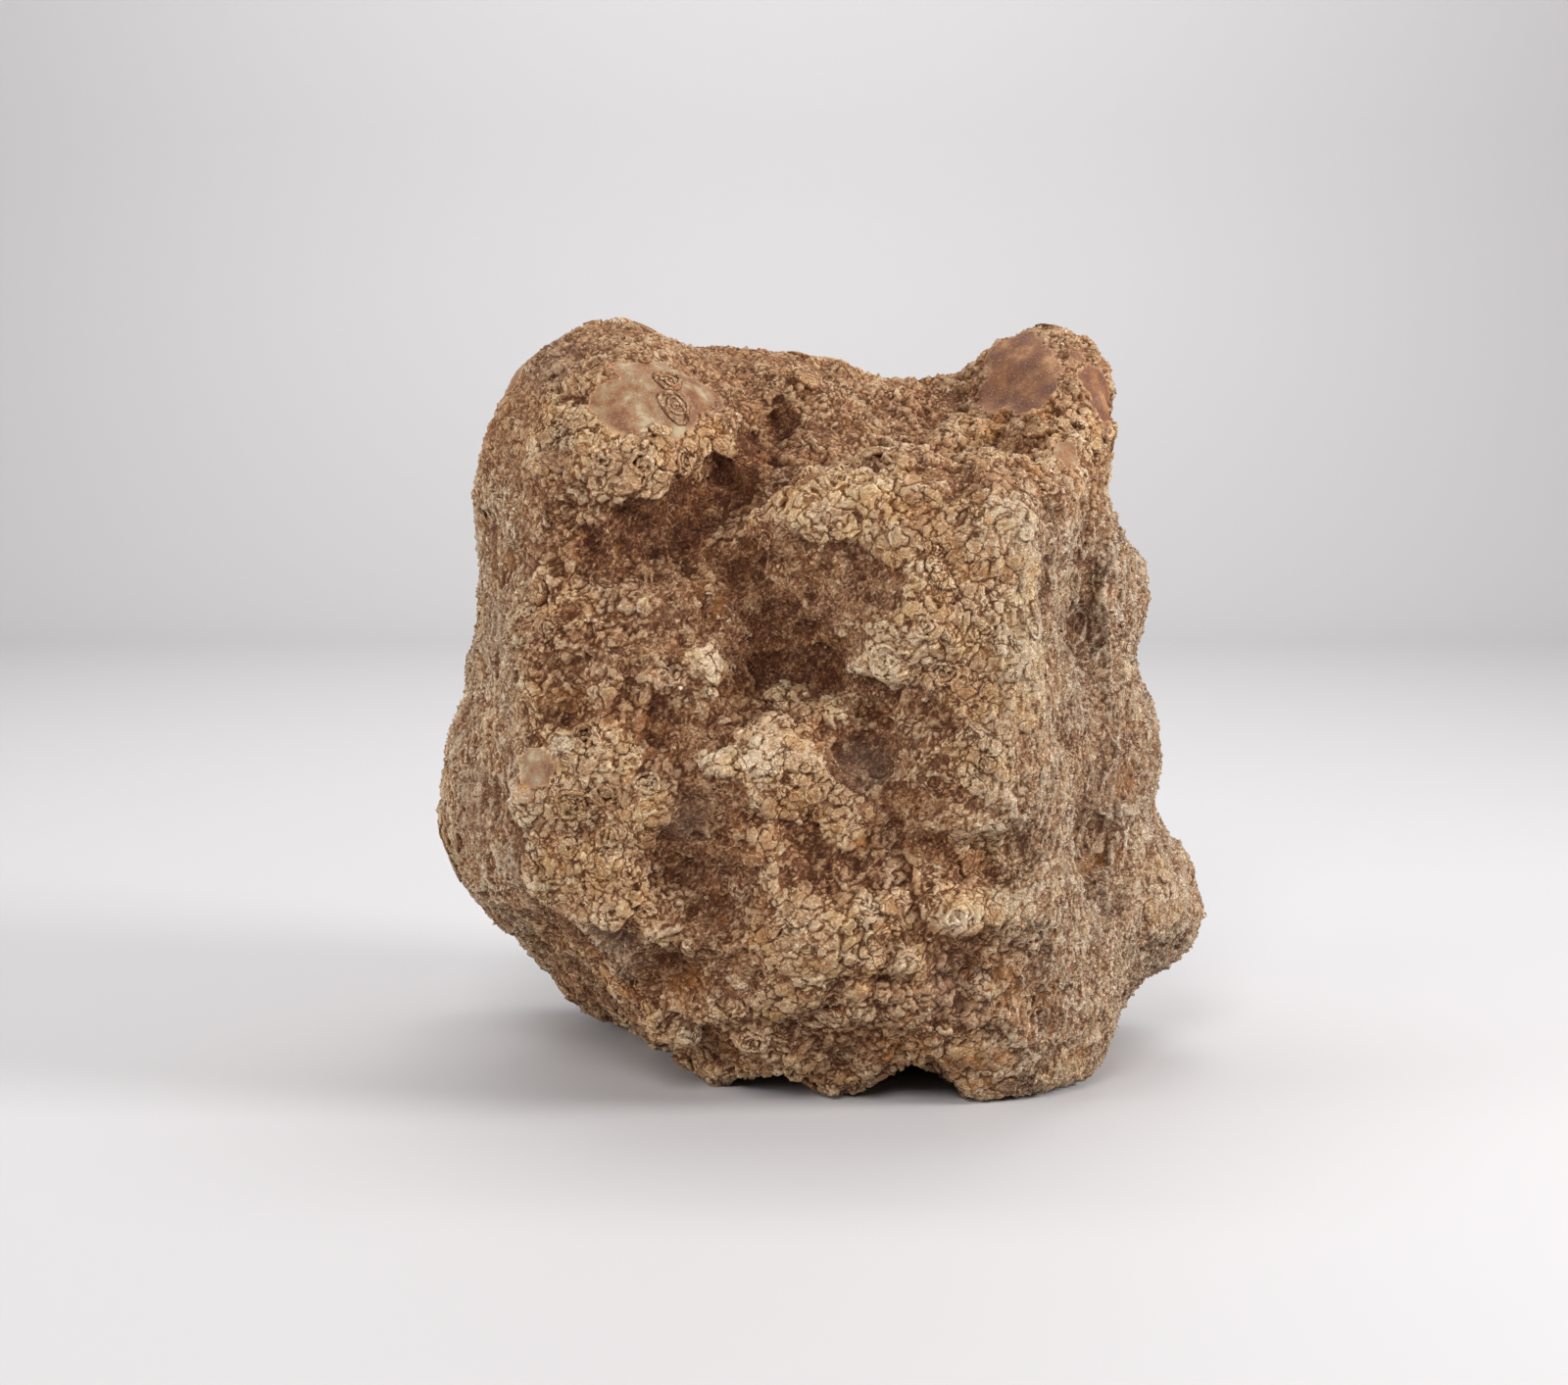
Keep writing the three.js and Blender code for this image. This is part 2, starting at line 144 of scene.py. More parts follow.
ROSETTES = [
    # on the left corner
    (-35, -46, 46, 2.7), (-30.5, -47, 47, 2.2), (-30, -47, 41, 2.4), (-36, -45, 40, 1.6),
    (-25, -48, 49, 1.8), (-34, -46, 56, 2), (-25, -46, 31, 1.2), (-28, -46, 36, 1.5),
    # on and under the knob
    (-22, -31, 105, 2.3), (-21, -34, 101, 2.6), (-26, -41, 93, 1.6), (-20, -35, 93, 2),
    (-31, -41, 93, 1.6), (-38, -36, 98, 1.5),
    # over the shelf and the middle
    (13, -49, 71, 2), (15, -45, 81, 2), (21, -46, 70, 1.6), (28, -45, 70, 1.5), (8, -46, 66, 2.4),
    (16, -46, 64, 2), (22, -49, 52, 1.6), (-9, -39, 82, 1.6), (-39, -42, 70, 1.5),
    # on the belly
    (18, -48, 31, 2), (26, -44, 28, 1.6), (11, -45, 24, 1.9), (-14, -43, 34, 1.4), (-33, -45, 34, 1.5),
]
RUST_STAINS = [
    (23, -41, 20, 3.5), (30, -38, 15, 3), (11, -37, 8, 3), (22, -37, 6, 3.5), (-12, -32, 6, 3),
    (-20, -37, 18, 3), (-31, -34, 18, 3), (-41, -25, 22, 2.2), (-41, -45, 49, 2), (-30, -11, 9, 2.2),
    (45, -18, 45, 2), (41, -18, 33, 2.2), (25, -6, 98, 3), (32, -9, 100, 3), (-16, -41, 75, 2),
    (-14, -42, 63, 1.4), (-36, -43, 62, 1.4), (5, -45, 42, 1.6), (-16, -31, 97, 1.4), (36, -30, 4, 3),
]
ASHEN_PATCHES = [
    (39, -17, 59, 7), (44, -18, 45, 7), (35, -23, 74, 5), (40, -21, 28, 6), (-31, -39, 24, 4),
    (-43, -33, 33, 4), (-49, -24, 69, 4), (-52, -25, 43, 4), (-40, -25, 107, 4), (-39, -37, 95, 2),
    (-20, -47, 43, 2.5), (5, -44, 51, 2.5), (19, -41, 19, 4),
]

# ---- Colours ----

STONE_COLOURS = [
    (0.0, (0.072, 0.025, 0.013, 1.0)),
    (0.18, (0.118, 0.043, 0.021, 1.0)),
    (0.36, (0.202, 0.088, 0.046, 1.0)),
    (0.52, (0.335, 0.172, 0.090, 1.0)),
    (0.68, (0.484, 0.297, 0.174, 1.0)),
    (0.84, (0.650, 0.466, 0.306, 1.0)),
    (1.0, (0.790, 0.635, 0.480, 1.0)),
]
CRACK_COLOUR = (0.115, 0.048, 0.025, 1.0)
WARM_TINT = (1.0, 0.80, 0.62, 1.0)
OCHRE_TINT = (1.0, 0.93, 0.74, 1.0)
RUST_COLOUR = (0.520, 0.200, 0.040, 1.0)
ASH_COLOUR = (0.300, 0.220, 0.170, 1.0)
MILKY_COLOURS = [
    (0.38, (0.16, 0.056, 0.015, 1.0)), (0.46, (0.24, 0.108, 0.036, 1.0)), (0.54, (0.26, 0.155, 0.074, 1.0)),
    (0.64, (0.38, 0.285, 0.165, 1.0)),
]
HONEY_COLOURS = [
    (0.32, (0.10, 0.028, 0.006, 1.0)), (0.45, (0.155, 0.048, 0.011, 1.0)), (0.58, (0.215, 0.080, 0.020, 1.0)),
    (0.70, (0.36, 0.180, 0.070, 1.0)),
]
VEIN_COLOUR = (0.24, 0.085, 0.030, 1.0)
SPECKLE_COLOUR = (0.62, 0.50, 0.37, 1.0)
FLOOR_COLOUR = (0.56, 0.545, 0.55, 1.0)
SKY_COLOUR = (0.92, 0.92, 0.96, 1.0)

# ---- Fields over the stone ----


def ease(low, high, values):
    """0 below low, 1 above high, and a smooth rise between them."""
    share = np.clip((values - low) / (high - low), 0.0, 1.0)
    return share * share * (3.0 - 2.0 * share)


def swell(points, wave, seed):
    """Smooth noise from about -1 to 1; wave is its length, or one length for each of x, y and z."""
    shift = Vector((17.3, 5.1, 9.7)) * seed
    return np.array([noise.noise(Vector(p) + shift) for p in (points / wave).tolist()])


def domes(points, width, seed):
    """Packed round swellings: 1 on the crown of each and 0 in the creases between them."""
    shift = Vector((3.7, 11.9, 7.3)) * seed
    found = [noise.voronoi(Vector(p) + shift)[0] for p in (points / width).tolist()]
    near = np.array([[d[0], d[1]] for d in found])
    return np.clip((near[:, 1] - near[:, 0]) * 1.6, 0.0, 1.0) ** 0.5


def nearness(points, places):
    """1 inside the reach of any of the places, fading to 0 further out."""
    best = np.zeros(len(points))
    for x, y, z, reach in places:
        away = np.linalg.norm(points - (x, y, z), axis=1)
        best = np.maximum(best, 1.0 - ease(0.7 * reach, 1.7 * reach + 1.0, away))
    return best


def lifted_by(points, lines):
    """How far lines of crests and grooves lift each place."""
    lift = np.zeros(len(points))
    for _, reach, rise, through in lines:
        away = np.full(len(points), np.inf)
        ends = np.array(through, float)
        for start, end in zip(ends[:-1], ends[1:]):
            span = end - start
            share = np.clip((points - start) @ span / (span @ span), 0.0, 1.0)
            away = np.minimum(away, np.linalg.norm(points - start - share[:, None] * span, axis=1))
        lift += rise * (1.0 - ease(0.3 * reach, 2.0 * reach, away))
    return lift


def fields_over(places, proud):
    """What covers the stone at each place: crust, clay, window and the stains, and a shade that holds its
    tone with painted light and shade in it.
    """
    x, y, z = places.T
    milky, honey = nearness(places, MILKY_WINDOWS), nearness(places, HONEY_WINDOWS)
    nodule, furrow, pit = (nearness(places, kind) for kind in (NODULES, FURROW, PITS))
    crest = lifted_by(places, CRESTS)
    patchy, grainy = swell(places, 5.5, 2), swell(places, 2.4, 3)
    ragged = 0.35 * swell(places, 2.6, 6) + 0.3 * swell(places, 1.1, 26)
    window = ease(0.35, 0.65, np.maximum(milky, honey) + ragged)
    right = ease(24, 38, x - 0.15 * y) * ease(92, 80, z)
    left = ease(40, 46, -x) * ease(98, 84, z)
    flank = np.maximum(right, 0.8 * left)
    calm = np.maximum(ease(34, 44, -x) * ease(-38, -30, y), ease(102, 108, z))
    score = nearness(places, PLATE_FIELDS) + 0.8 * nodule - 1.3 * nearness(places, CLAY_HOLLOWS + FURROW)
    score += 0.45 * swell(places, 13, 1) + 0.5 * patchy + 0.55 * grainy
    score += 0.9 * np.clip(proud, -0.4, 0.4) - 0.2 * ease(92, 100, z) - 0.45 * flank
    crust = ease(0.2, 0.6, score) * (1.0 - window)
    smeared = np.maximum(nearness(places, CLAY_HOLLOWS), 1.2 * furrow) + 0.3 * patchy - 0.4 * grainy
    clay = ease(0.35, 0.7, smeared) * (1.0 - crust) * (1.0 - window)
    bare = (1.0 - crust) * (1.0 - clay)
    streaks = swell(places, (2.2, 2.2, 11.0), 9) * flank
    # The shade is the stone's own tone with painted light and shade in it. Crests and proud places are
    # painted lighter, and pits, sunken places and the bare furrow are painted darker as painted shade. The
    # flanks are lighter, partly from their own paler tone and partly as painted light where the side lamps
    # fall.
    shade = 0.555 + 0.03 * crust - 0.08 * clay - 0.03 * bare + 0.16 * nodule + 0.10 * streaks + 0.32 * flank
    shade += 0.04 * swell(places, 9, 4) + 0.07 * swell(places, 3.4, 5) + 0.07 * np.clip(proud, -0.6, 0.6)
    shade += 0.10 * crest - 0.08 * pit - 0.20 * furrow * (1.0 - crust)
    return {
        "crust": crust, "clay": clay, "window": window, "nodule": nodule, "flank": flank, "calm": calm,
        "streaks": streaks, "pit": pit, "crest": crest,
        "honey": ease(-0.15, 0.15, honey - milky + 0.3 * swell(places, 4, 8)),
        "whole": np.clip(0.5 + 0.3 * crust - 0.3 * clay, 0.0, 1.0),
        "shade": np.clip(shade, 0.0, 1.0),
        "rust": nearness(places, RUST_STAINS) * ease(-0.3, 0.4, swell(places, 2.8, 7)),
        "ash": np.maximum(nearness(places, ASHEN_PATCHES), 0.6 * right),
    }


def relief(places, cover, upward):
    """How far each place of the skin is lifted: lumps and ledges, and pits between them."""
    bare = 1.0 - cover["crust"]
    bubbly = ease(0.2, 0.7, upward) * (1.0 - 0.8 * cover["clay"]) * ease(105, 99, places[:, 2])
    lift = 0.8 * (domes(places, 6.2, 3) - 0.6) + 0.8 * swell(places, 8, 14)
    lift += 0.5 * (domes(places, 2.9, 4) - 0.5) * (1.0 - 0.7 * cover["clay"])
    lift += bubbly * (1.5 * (domes(places, 4.4, 16) - 0.6) + 0.6 * (domes(places, 2.3, 17) - 0.5))
    lift += 0.5 * cover["crust"] - 0.6 * cover["clay"] + 0.6 * cover["nodule"]
    lift += 0.6 * cover["streaks"] + cover["crest"] - 1.1 * cover["pit"]
    lift -= 1.1 * ease(0.25, 0.5, swell(places, 3.4, 5)) * bare
    lift -= 1.0 * ease(0.3, 0.5, swell(places, 6.5, 15)) * bare
    smooth = -0.35 + 0.35 * swell(places, 6, 13)
    lift *= 1.0 - 0.4 * np.maximum(cover["flank"], cover["calm"])
    return lift * (1.0 - cover["window"]) + smooth * cover["window"]


# ---- The stone's own skin ----


def read(items, key, width=1, kind=np.float32):
    """The numbers that the items of a mesh hold, in rows of a width."""
    flat = np.empty(len(items) * width, kind)
    items.foreach_get(key, flat)
    return flat.reshape(-1, width) if width > 1 else flat


def corners_of(mesh):
    """Places of a mesh's vertices, in millimetres."""
    return read(mesh.vertices, "co", 3).astype(float) / MM


def normals_of(mesh):
    """Outward directions at a mesh's vertices."""
    return read(mesh.vertices, "normal", 3).astype(float)


def edges_of(mesh):
    return read(mesh.edges, "vertices", 2, np.int32)


def quads_of(mesh):
    """The corners of each face of a mesh that has only four-sided ones."""
    return read(mesh.loops, "vertex_index", 1, np.int32).reshape(-1, 4)


def move_corners(mesh, places):
    """Puts a mesh's vertices at places given in millimetres, and none below the floor."""
    places[:, 2] = np.maximum(places[:, 2], 0.0)
    mesh.vertices.foreach_set("co", (places * MM).astype(np.float32).ravel())
    mesh.update()


def paint(mesh, name, values):
    """Keeps a number or a place for each vertex, for the materials and the scatter to read."""
    kind, key = ("FLOAT", "value") if values.ndim == 1 else ("FLOAT_VECTOR", "vector")
    layer = mesh.attributes.new(name, kind, "POINT")
    layer.data.foreach_set(key, values.astype(np.float32).ravel())


def placed(name, data):
    """A new object in the scene."""
    item = bpy.data.objects.new(name, data)
    bpy.context.scene.collection.objects.link(item)
    return item


def evaluated_mesh(obj):
    """The mesh that an object's modifiers make, with no modifier left."""
    graph = bpy.context.evaluated_depsgraph_get()
    return bpy.data.meshes.new_from_object(obj.evaluated_get(graph), depsgraph=graph)


def even_skin():
    """The carved solid as one even skin of small faces."""
    shaped = bmesh.new()
    shaped.from_mesh(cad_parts["geode"].data)
    bmesh.ops.remove_doubles(shaped, verts=shaped.verts, dist=0.01 * MM)
    mesh = bpy.data.meshes.new("skin")
    shaped.to_mesh(mesh)
    shaped.free()
    rough = placed("rough skin", mesh)
    soften = rough.modifiers.new("soften", "SUBSURF")
    soften.levels = soften.render_levels = 1
    even = rough.modifiers.new("even", "REMESH")
    even.mode = "VOXEL"
    even.voxel_size = SKIN_STEP * MM
    skin = evaluated_mesh(rough)
    bpy.data.objects.remove(rough)
    return skin


def relaxed(values, edges, rounds):
    """Rows of values at the vertices after each is averaged with its neighbours, round after round."""
    count = len(values)
    ends = np.concatenate([edges, edges[:, ::-1]])
    valence = np.bincount(ends[:, 0], minlength=count)
    values = values.copy()
    for _ in range(rounds):
        mean = [np.bincount(ends[:, 0], column[ends[:, 1]], count) / valence for column in values.T]
        values = 0.5 * values + 0.5 * np.stack(mean, axis=1)
    return values


def lumpy_skin():
    """The skin with its lumps and pits, and what covers it painted on."""
    mesh = even_skin()
    places = corners_of(mesh)
    outward = normals_of(mesh)
    edges = edges_of(mesh)
    proud = ((places - relaxed(places, edges, 60)) * outward).sum(axis=1)
    cover = fields_over(places, proud)
    moved = places + outward * relief(places, cover, outward[:, 2])[:, None]
    move_corners(mesh, moved)
    # How sunken each place is; the hollows it marks are painted darker by the skin's finish, as painted
    # shade.
    cavity_shade = ((relaxed(moved, edges, 10) - moved) * normals_of(mesh)).sum(axis=1)
    cover["hollow"] = ease(-0.35, 0.5, cavity_shade)
    patchy = np.maximum(ease(-0.1, 0.25, swell(moved, 4.5, 24)), cover["nodule"])
    still = np.clip(1.0 - cover["window"] - 0.8 * cover["flank"], 0.0, 1.0)
    still *= 1.0 - 0.85 * cover["calm"]
    cover["ringed"] = ease(0.5, 0.9, cover["crust"]) * patchy
    cover["small_plates"] = ease(0.2, 0.6, cover["crust"]) * ease(0.0, 0.4, swell(moved, 3.5, 25))
    cover["curly"] = still * (0.25 + 0.5 * ease(0.0, 0.4, swell(moved, 4, 27)))
    cover["crumbly"] = still * ease(0.3, 0.8, nearness(moved, CLAY_HOLLOWS)) * (0.9 - 0.5 * cover["clay"])
    for name, values in cover.items():
        paint(mesh, name, values)
    mesh.shade_smooth()
    return mesh, cover


def tree_of(places):
    tree = KDTree(len(places))
    for i, p in enumerate(places.tolist()):
        tree.insert(p, i)
    tree.balance()
    return tree


class Ground:
    """The finished skin, asked for its surface, its outward directions and what covers it."""

    def __init__(self, lumpy, crusted, cover):
        self.cover = cover
        self.smooth_normals = relaxed(normals_of(lumpy), edges_of(lumpy), 8)
        self.surface = BVHTree.FromPolygons(
            corners_of(crusted).tolist(), quads_of(crusted).tolist(), epsilon=0.0,
        )
        self.tree = tree_of(corners_of(lumpy))

    def closest(self, points):
        """Index of the lumpy skin's vertex closest to each point."""
        return np.array([self.tree.find(p)[1] for p in points.reshape(-1, 3).tolist()])

    def covered(self, name, points):
        """What is painted on the skin under each point."""
        return self.cover[name][self.closest(points)]

    def outward(self, points):
        found = self.smooth_normals[self.closest(points)]
        return (found / np.linalg.norm(found, axis=1)[:, None]).reshape(points.shape)

    def seated(self, points):
        """Each point moved to the nearest point of the skin."""
        found = [list(self.surface.find_nearest(p)[0]) for p in points.reshape(-1, 3).tolist()]
        return np.array(found).reshape(points.shape)


# ---- Node trees ----


def math_node(kind, backwards=False):
    """A method that adds a Math node which works on a value and another one."""
    def method(self, other):
        first, second = (other, self) if backwards else (self, other)
        return made(self.tree, "ShaderNodeMath", 0, {"operation": kind}, i0=first, i1=second)
    return method


class Flow:
    """A value on its way through a node tree, so that its arithmetic is written as arithmetic."""

    def __init__(self, socket):
        self.socket = socket
        self.tree = socket.id_data

    def beside(self, output):
        """Another output of the same node."""
        return Flow(self.socket.node.outputs[output])

    __add__ = math_node("ADD")
    __radd__ = math_node("ADD", backwards=True)
    __sub__ = math_node("SUBTRACT")
    __rsub__ = math_node("SUBTRACT", backwards=True)
    __mul__ = math_node("MULTIPLY")
    __rtruediv__ = math_node("DIVIDE", backwards=True)
    __gt__ = math_node("GREATER_THAN")
    larger = math_node("MAXIMUM")
    smaller = math_node("MINIMUM")
    folded = math_node("PINGPONG")


def join(node, **inputs):
    """Sets or joins inputs of a node by name; i0 and i1 are inputs by number."""
    for name, value in inputs.items():
        number = name[1:]
        socket = node.inputs[int(number) if name[0] == "i" and number.isdigit() else name.replace("_", " ")]
        if isinstance(value, Flow):
            node.id_data.links.new(value.socket, socket)
        else:
            socket.default_value = value
    return node


def place_node(tree, kind, settings=None, **inputs):
    """Adds a node with its settings and its inputs."""
    node = tree.nodes.new(kind)
    for name, value in (settings or {}).items():
        setattr(node, name, value)
    return join(node, **inputs)


def made(tree, kind, output, settings=None, **inputs):
    """One output of a new node."""
    return Flow(place_node(tree, kind, settings, **inputs).outputs[output])


def new_group(name, kind, inputs, outputs):
    """An empty group: its tree, its inputs by name, and the node that takes its outputs."""
    tree = bpy.data.node_groups.new(name, kind)
    for title, (socket, value) in inputs.items():
        entry = tree.interface.new_socket(title, in_out="INPUT", socket_type="NodeSocket" + socket)
        if value is not None:
            entry.default_value = value
    for title, socket in outputs.items():
        tree.interface.new_socket(title, in_out="OUTPUT", socket_type="NodeSocket" + socket)
    given = tree.nodes.new("NodeGroupInput")
    return tree, {title: Flow(given.outputs[title]) for title in inputs}, tree.nodes.new("NodeGroupOutput")


def vector_math(kind, first, *others, output="Vector", **inputs):
    """A vector worked out from others, or one number of it."""
    inputs.update({f"i{number}": value for number, value in enumerate((first, *others))})
    return made(first.tree, "ShaderNodeVectorMath", output, {"operation": kind}, **inputs)


def blend(share, first, second):
    """first where share is 0, second where it is 1."""
    return first + share * (second - first)


def between(value, low, high, start=0.0, end=1.0):
    """A number carried from low..high to start..end, and held at the ends."""
    return made(
        value.tree, "ShaderNodeMapRange", "Result", {"interpolation_type": "SMOOTHSTEP"},
        Value=value, From_Min=low, From_Max=high, To_Min=start, To_Max=end,
    )


def cloud(where, width, detail=1.0, output="Fac", roughness=0.6):
    """Soft noise whose patches are about that many millimetres wide."""
    return made(
        where.tree, "ShaderNodeTexNoise", output, {"noise_dimensions": "3D"},
        Vector=where, Scale=1.0 / width, Detail=detail, Roughness=roughness,
    )


def bent_place(where, width, reach):
    """A place pushed about by soft noise, so that what is drawn there wavers."""
    drift = vector_math("SUBTRACT", cloud(where, width, 2.0, "Color"), (0.5, 0.5, 0.5))
    return vector_math("MULTIPLY_ADD", drift, (reach, reach, reach), where)


def stretched(where, height):
    """A place whose height counts for less, so that what is drawn there is drawn out upright."""
    return vector_math("MULTIPLY", where, (1.0, 1.0, height))


def voronoi(where, width, feature, output):
    return made(
        where.tree, "ShaderNodeTexVoronoi", output, {"feature": feature}, Vector=where, Scale=1.0 / width,
    )


def channel(color, axis):
    """One channel of a colour, as a number."""
    return vector_math("DOT_PRODUCT", color, axis, output="Value")


def cells(where, width):
    """Cells of a width: how far inside its edge a place is, in millimetres, and two chances a cell."""
    color = voronoi(where, width, "F1", "Color")
    edge = voronoi(where, width, "DISTANCE_TO_EDGE", "Distance")
    return edge * width, channel(color, (1.0, 0.0, 0.0)), channel(color, (0.0, 1.0, 0.0))


def pocks(where):
    """Small round holes here and there, 1 in the middle of each."""
    away = voronoi(where, POCK_SPACING, "F1", "Distance")
    picked = between(channel(away.beside("Color"), (0.0, 0.0, 1.0)), 0.5, 0.75)
    return between(away * POCK_SPACING, 0.2, 0.85, 1.0, 0.0) * picked


def folds(where, width, apart=0.055):
    """Thin winding ridges, 1 on their crests."""
    return between(cloud(where, width).folded(apart), 0.0, 0.4 * apart, 1.0, 0.0)


def ribs(where):
    """Winding upright ridges of two widths, 1 where both crests meet."""
    upright = stretched(where, 0.25)
    return folds(upright, 2.6, 0.12) * 0.6 + folds(upright, 1.3, 0.07) * 0.4


def cracked_crust(where, whole):
    """Plates of cracked crust, of two sizes; whole is the share of the larger ones left unbroken.

    Gives the distance inside the nearest crack in millimetres, a chance for each plate, how far its
    middle is dished, and the lines round the middle of the plates that are ringed.
    """
    bent = bent_place(bent_place(where, 4.0, 4.5), 1.4, 1.8)
    wide, wide_chance, wide_dish = cells(bent, WIDE_CELL)
    fine, fine_chance, fine_dish = cells(bent, FINE_CELL)
    unbroken = whole > wide_chance
    inside = blend(unbroken, wide.smaller(fine), wide)
    ring = between(inside.folded(0.34), 0.02, 0.12, 1.0, 0.0)
    ring = ring * (unbroken * (wide_dish > 0.78)) * between(inside, 0.3, 0.45)
    return inside, blend(unbroken, fine_chance, wide_dish), blend(unbroken, fine_dish, wide_dish), ring


def plate_profile(inside, dish, crust, edge):
    """Height from 0 in the crack: over a plate a rim and a dished middle, off the crust a round lump."""
    rim = between(inside, 0.0, blend(crust, 0.6, edge))
    return rim - between(inside, edge, 3.0 * edge) * (dish * 0.6) * crust


# ---- What the skin is dressed with by node trees ----

SOWING_INPUTS = {
    "Skin": ("Geometry", None), "Spacing": ("Float", 1.0), "Mask": ("Float", 1.0), "Seed": ("Int", 0),
}


def painted_field(tree, name, kind="FLOAT"):
    return made(tree, "GeometryNodeInputNamedAttribute", "Attribute", {"data_type": kind}, Name=name)


def stored(geometry, name, value, kind="FLOAT"):
    """A geometry with a field painted on."""
    return made(
        geometry.tree, "GeometryNodeStoreNamedAttribute", "Geometry", {"data_type": kind},
        Geometry=geometry, Name=name, Value=value,
    )


def stored_place(geometry):
    """A geometry with its places kept in millimetres, as they are before anything moves them."""
    position = made(geometry.tree, "GeometryNodeInputPosition", "Position")
    return stored(geometry, "rest", vector_math("SCALE", position, Scale=1.0 / MM), "FLOAT_VECTOR")


def finished(geometry, material, **chosen):
    return made(
        geometry.tree, "GeometryNodeSetMaterial", "Geometry", Geometry=geometry, Material=material, **chosen,
    )


def realized(instances):
    return made(instances.tree, "GeometryNodeRealizeInstances", "Geometry", Geometry=instances)


def pushed(geometry, direction, distance):
    offset = vector_math("SCALE", direction, Scale=distance)
    return made(geometry.tree, "GeometryNodeSetPosition", "Geometry", Geometry=geometry, Offset=offset)


def crust_height(where):
    """How far the crust stands over the lumpy skin, in millimetres."""
    crust, clay, flank, calm, window, whole = (
        painted_field(where.tree, name) for name in ("crust", "clay", "flank", "calm", "window", "whole")
    )
    inside, plate_chance, dish, ring = cracked_crust(where, whole)
    tall = plate_chance * 0.9 + blend(crust, 0.8, 0.55)
    plate = (plate_profile(inside, dish, crust, 0.45) - ring * 0.25) * tall * CRUST_LIFT
    plate = plate * blend(clay, 1.0, 0.35) * blend(flank, 1.0, 0.25) * blend(calm, 1.0, 0.5)
    curl = folds(where, 2.4, 0.08) * blend(crust, 0.34, 0.1)
    grit = cloud(where, 1.3, 2.0) * 0.5
    height = plate + curl + ribs(where) * 0.55 * flank + grit - 0.6 - pocks(where) * 0.6
    return height * blend(window, 1.0, 0.12)


def crust_tree():
    """The crust raised on the lumpy skin: faces halved, then moved out by the height of the crust."""
    tree, given, result = new_group(
        "crust", "GeometryNodeTree",
        {"Skin": ("Geometry", None), "Stone Finish": ("Material", None), "Window Finish": ("Material", None)},
        {"Crusted": "Geometry"},
    )
    fine = made(tree, "GeometryNodeSubdivisionSurface", "Mesh", Mesh=given["Skin"], Level=1)
    height = crust_height(painted_field(tree, "rest", "FLOAT_VECTOR"))
    raised = pushed(stored_place(fine), made(tree, "GeometryNodeInputNormal", "Normal"), height * MM)
    stony = finished(realized(raised), given["Stone Finish"])
    bare = painted_field(tree, "window") > 0.5
    join(result, Crusted=finished(stony, given["Window Finish"], Selection=bare))
    return tree


def sown_points(tree, given):
    """Points on a skin, no nearer than a spacing, thinned out where a painted mask is low."""
    return made(
        tree, "GeometryNodeDistributePointsOnFaces", "Points", {"distribute_method": "POISSON"},
        Mesh=given["Skin"], Distance_Min=given["Spacing"], Density_Max=MOST_POINTS,
        Density_Factor=given["Mask"], Seed=given["Seed"],
    )


def scatter_tree():
    """Loose vertices sown over a skin."""
    tree, given, result = new_group("scatter", "GeometryNodeTree", SOWING_INPUTS, {"Points": "Geometry"})
    join(result, Points=made(tree, "GeometryNodePointsToVertices", "Mesh", Points=sown_points(tree, given)))
    return tree


def drawn(tree, kind, low, high, seed):
    """A vector, a number or a whole number drawn by chance for each point."""
    place = ("FLOAT_VECTOR", "FLOAT", "INT").index(kind)
    ends = {f"i{2 * place}": low, f"i{2 * place + 1}": high}
    return made(tree, "FunctionNodeRandomValue", place, {"data_type": kind}, Seed=seed, **ends)


def crumb_shapes(tree, sides):
    """A few uneven flat grains about 2 across, as a list to pick from."""
    shapes = tree.nodes.new("GeometryNodeJoinGeometry")
    rings = sides - 2.0
    for kind in range(CRUMB_KINDS):
        ball = made(tree, "GeometryNodeMeshUVSphere", "Mesh", Segments=sides, Rings=rings, Radius=1.0)
        position = made(tree, "GeometryNodeInputPosition", "Position")
        uneven = made(
            tree, "ShaderNodeTexNoise", "Color", {"noise_dimensions": "3D", "normalize": False},
            Vector=vector_math("ADD", position, (5.3 * kind, 2.1 * kind, 0.0)), Scale=1.3, Detail=0.0,
        )
        lump = pushed(ball, uneven, 1.1)
        flat = made(tree, "GeometryNodeTransform", "Geometry", Geometry=lump, Scale=(1.0, 0.8, 0.4))
        join(shapes, Geometry=made(tree, "GeometryNodeGeometryToInstance", "Instances", Geometry=flat))
    return Flow(shapes.outputs["Geometry"])


def crumb_tree():
    """Small flat grains sown on a skin, each turned, tipped and sized by chance, as one plain mesh."""
    tree, given, result = new_group(
        "crumbs", "GeometryNodeTree",
        {
            **SOWING_INPUTS, "Smallest": ("Float", 0.2), "Largest": ("Float", 0.5), "Sides": ("Int", 5),
            "Finish": ("Material", None),
        },
        {"Crumbs": "Geometry"},
    )
    points = sown_points(tree, given)
    toned = stored(points, "shade", painted_field(tree, "shade") + drawn(tree, "FLOAT", -0.08, 0.2, 3))
    lying = made(
        tree, "FunctionNodeRotateRotation", 0, {"rotation_space": "LOCAL"},
        Rotation=points.beside("Rotation"),
        Rotate_By=drawn(tree, "FLOAT_VECTOR", (-0.5, -0.5, 0.0), (0.5, 0.5, 6.28), 7),
    )
    sown = made(
        tree, "GeometryNodeInstanceOnPoints", "Instances",
        Points=stored_place(toned), Instance=crumb_shapes(tree, given["Sides"]), Pick_Instance=True,
        Instance_Index=drawn(tree, "INT", 0, CRUMB_KINDS - 1, 9), Rotation=lying,
        Scale=drawn(tree, "FLOAT", given["Smallest"], given["Largest"], 5),
    )
    join(result, Crumbs=finished(realized(sown), given["Finish"]))
    return tree


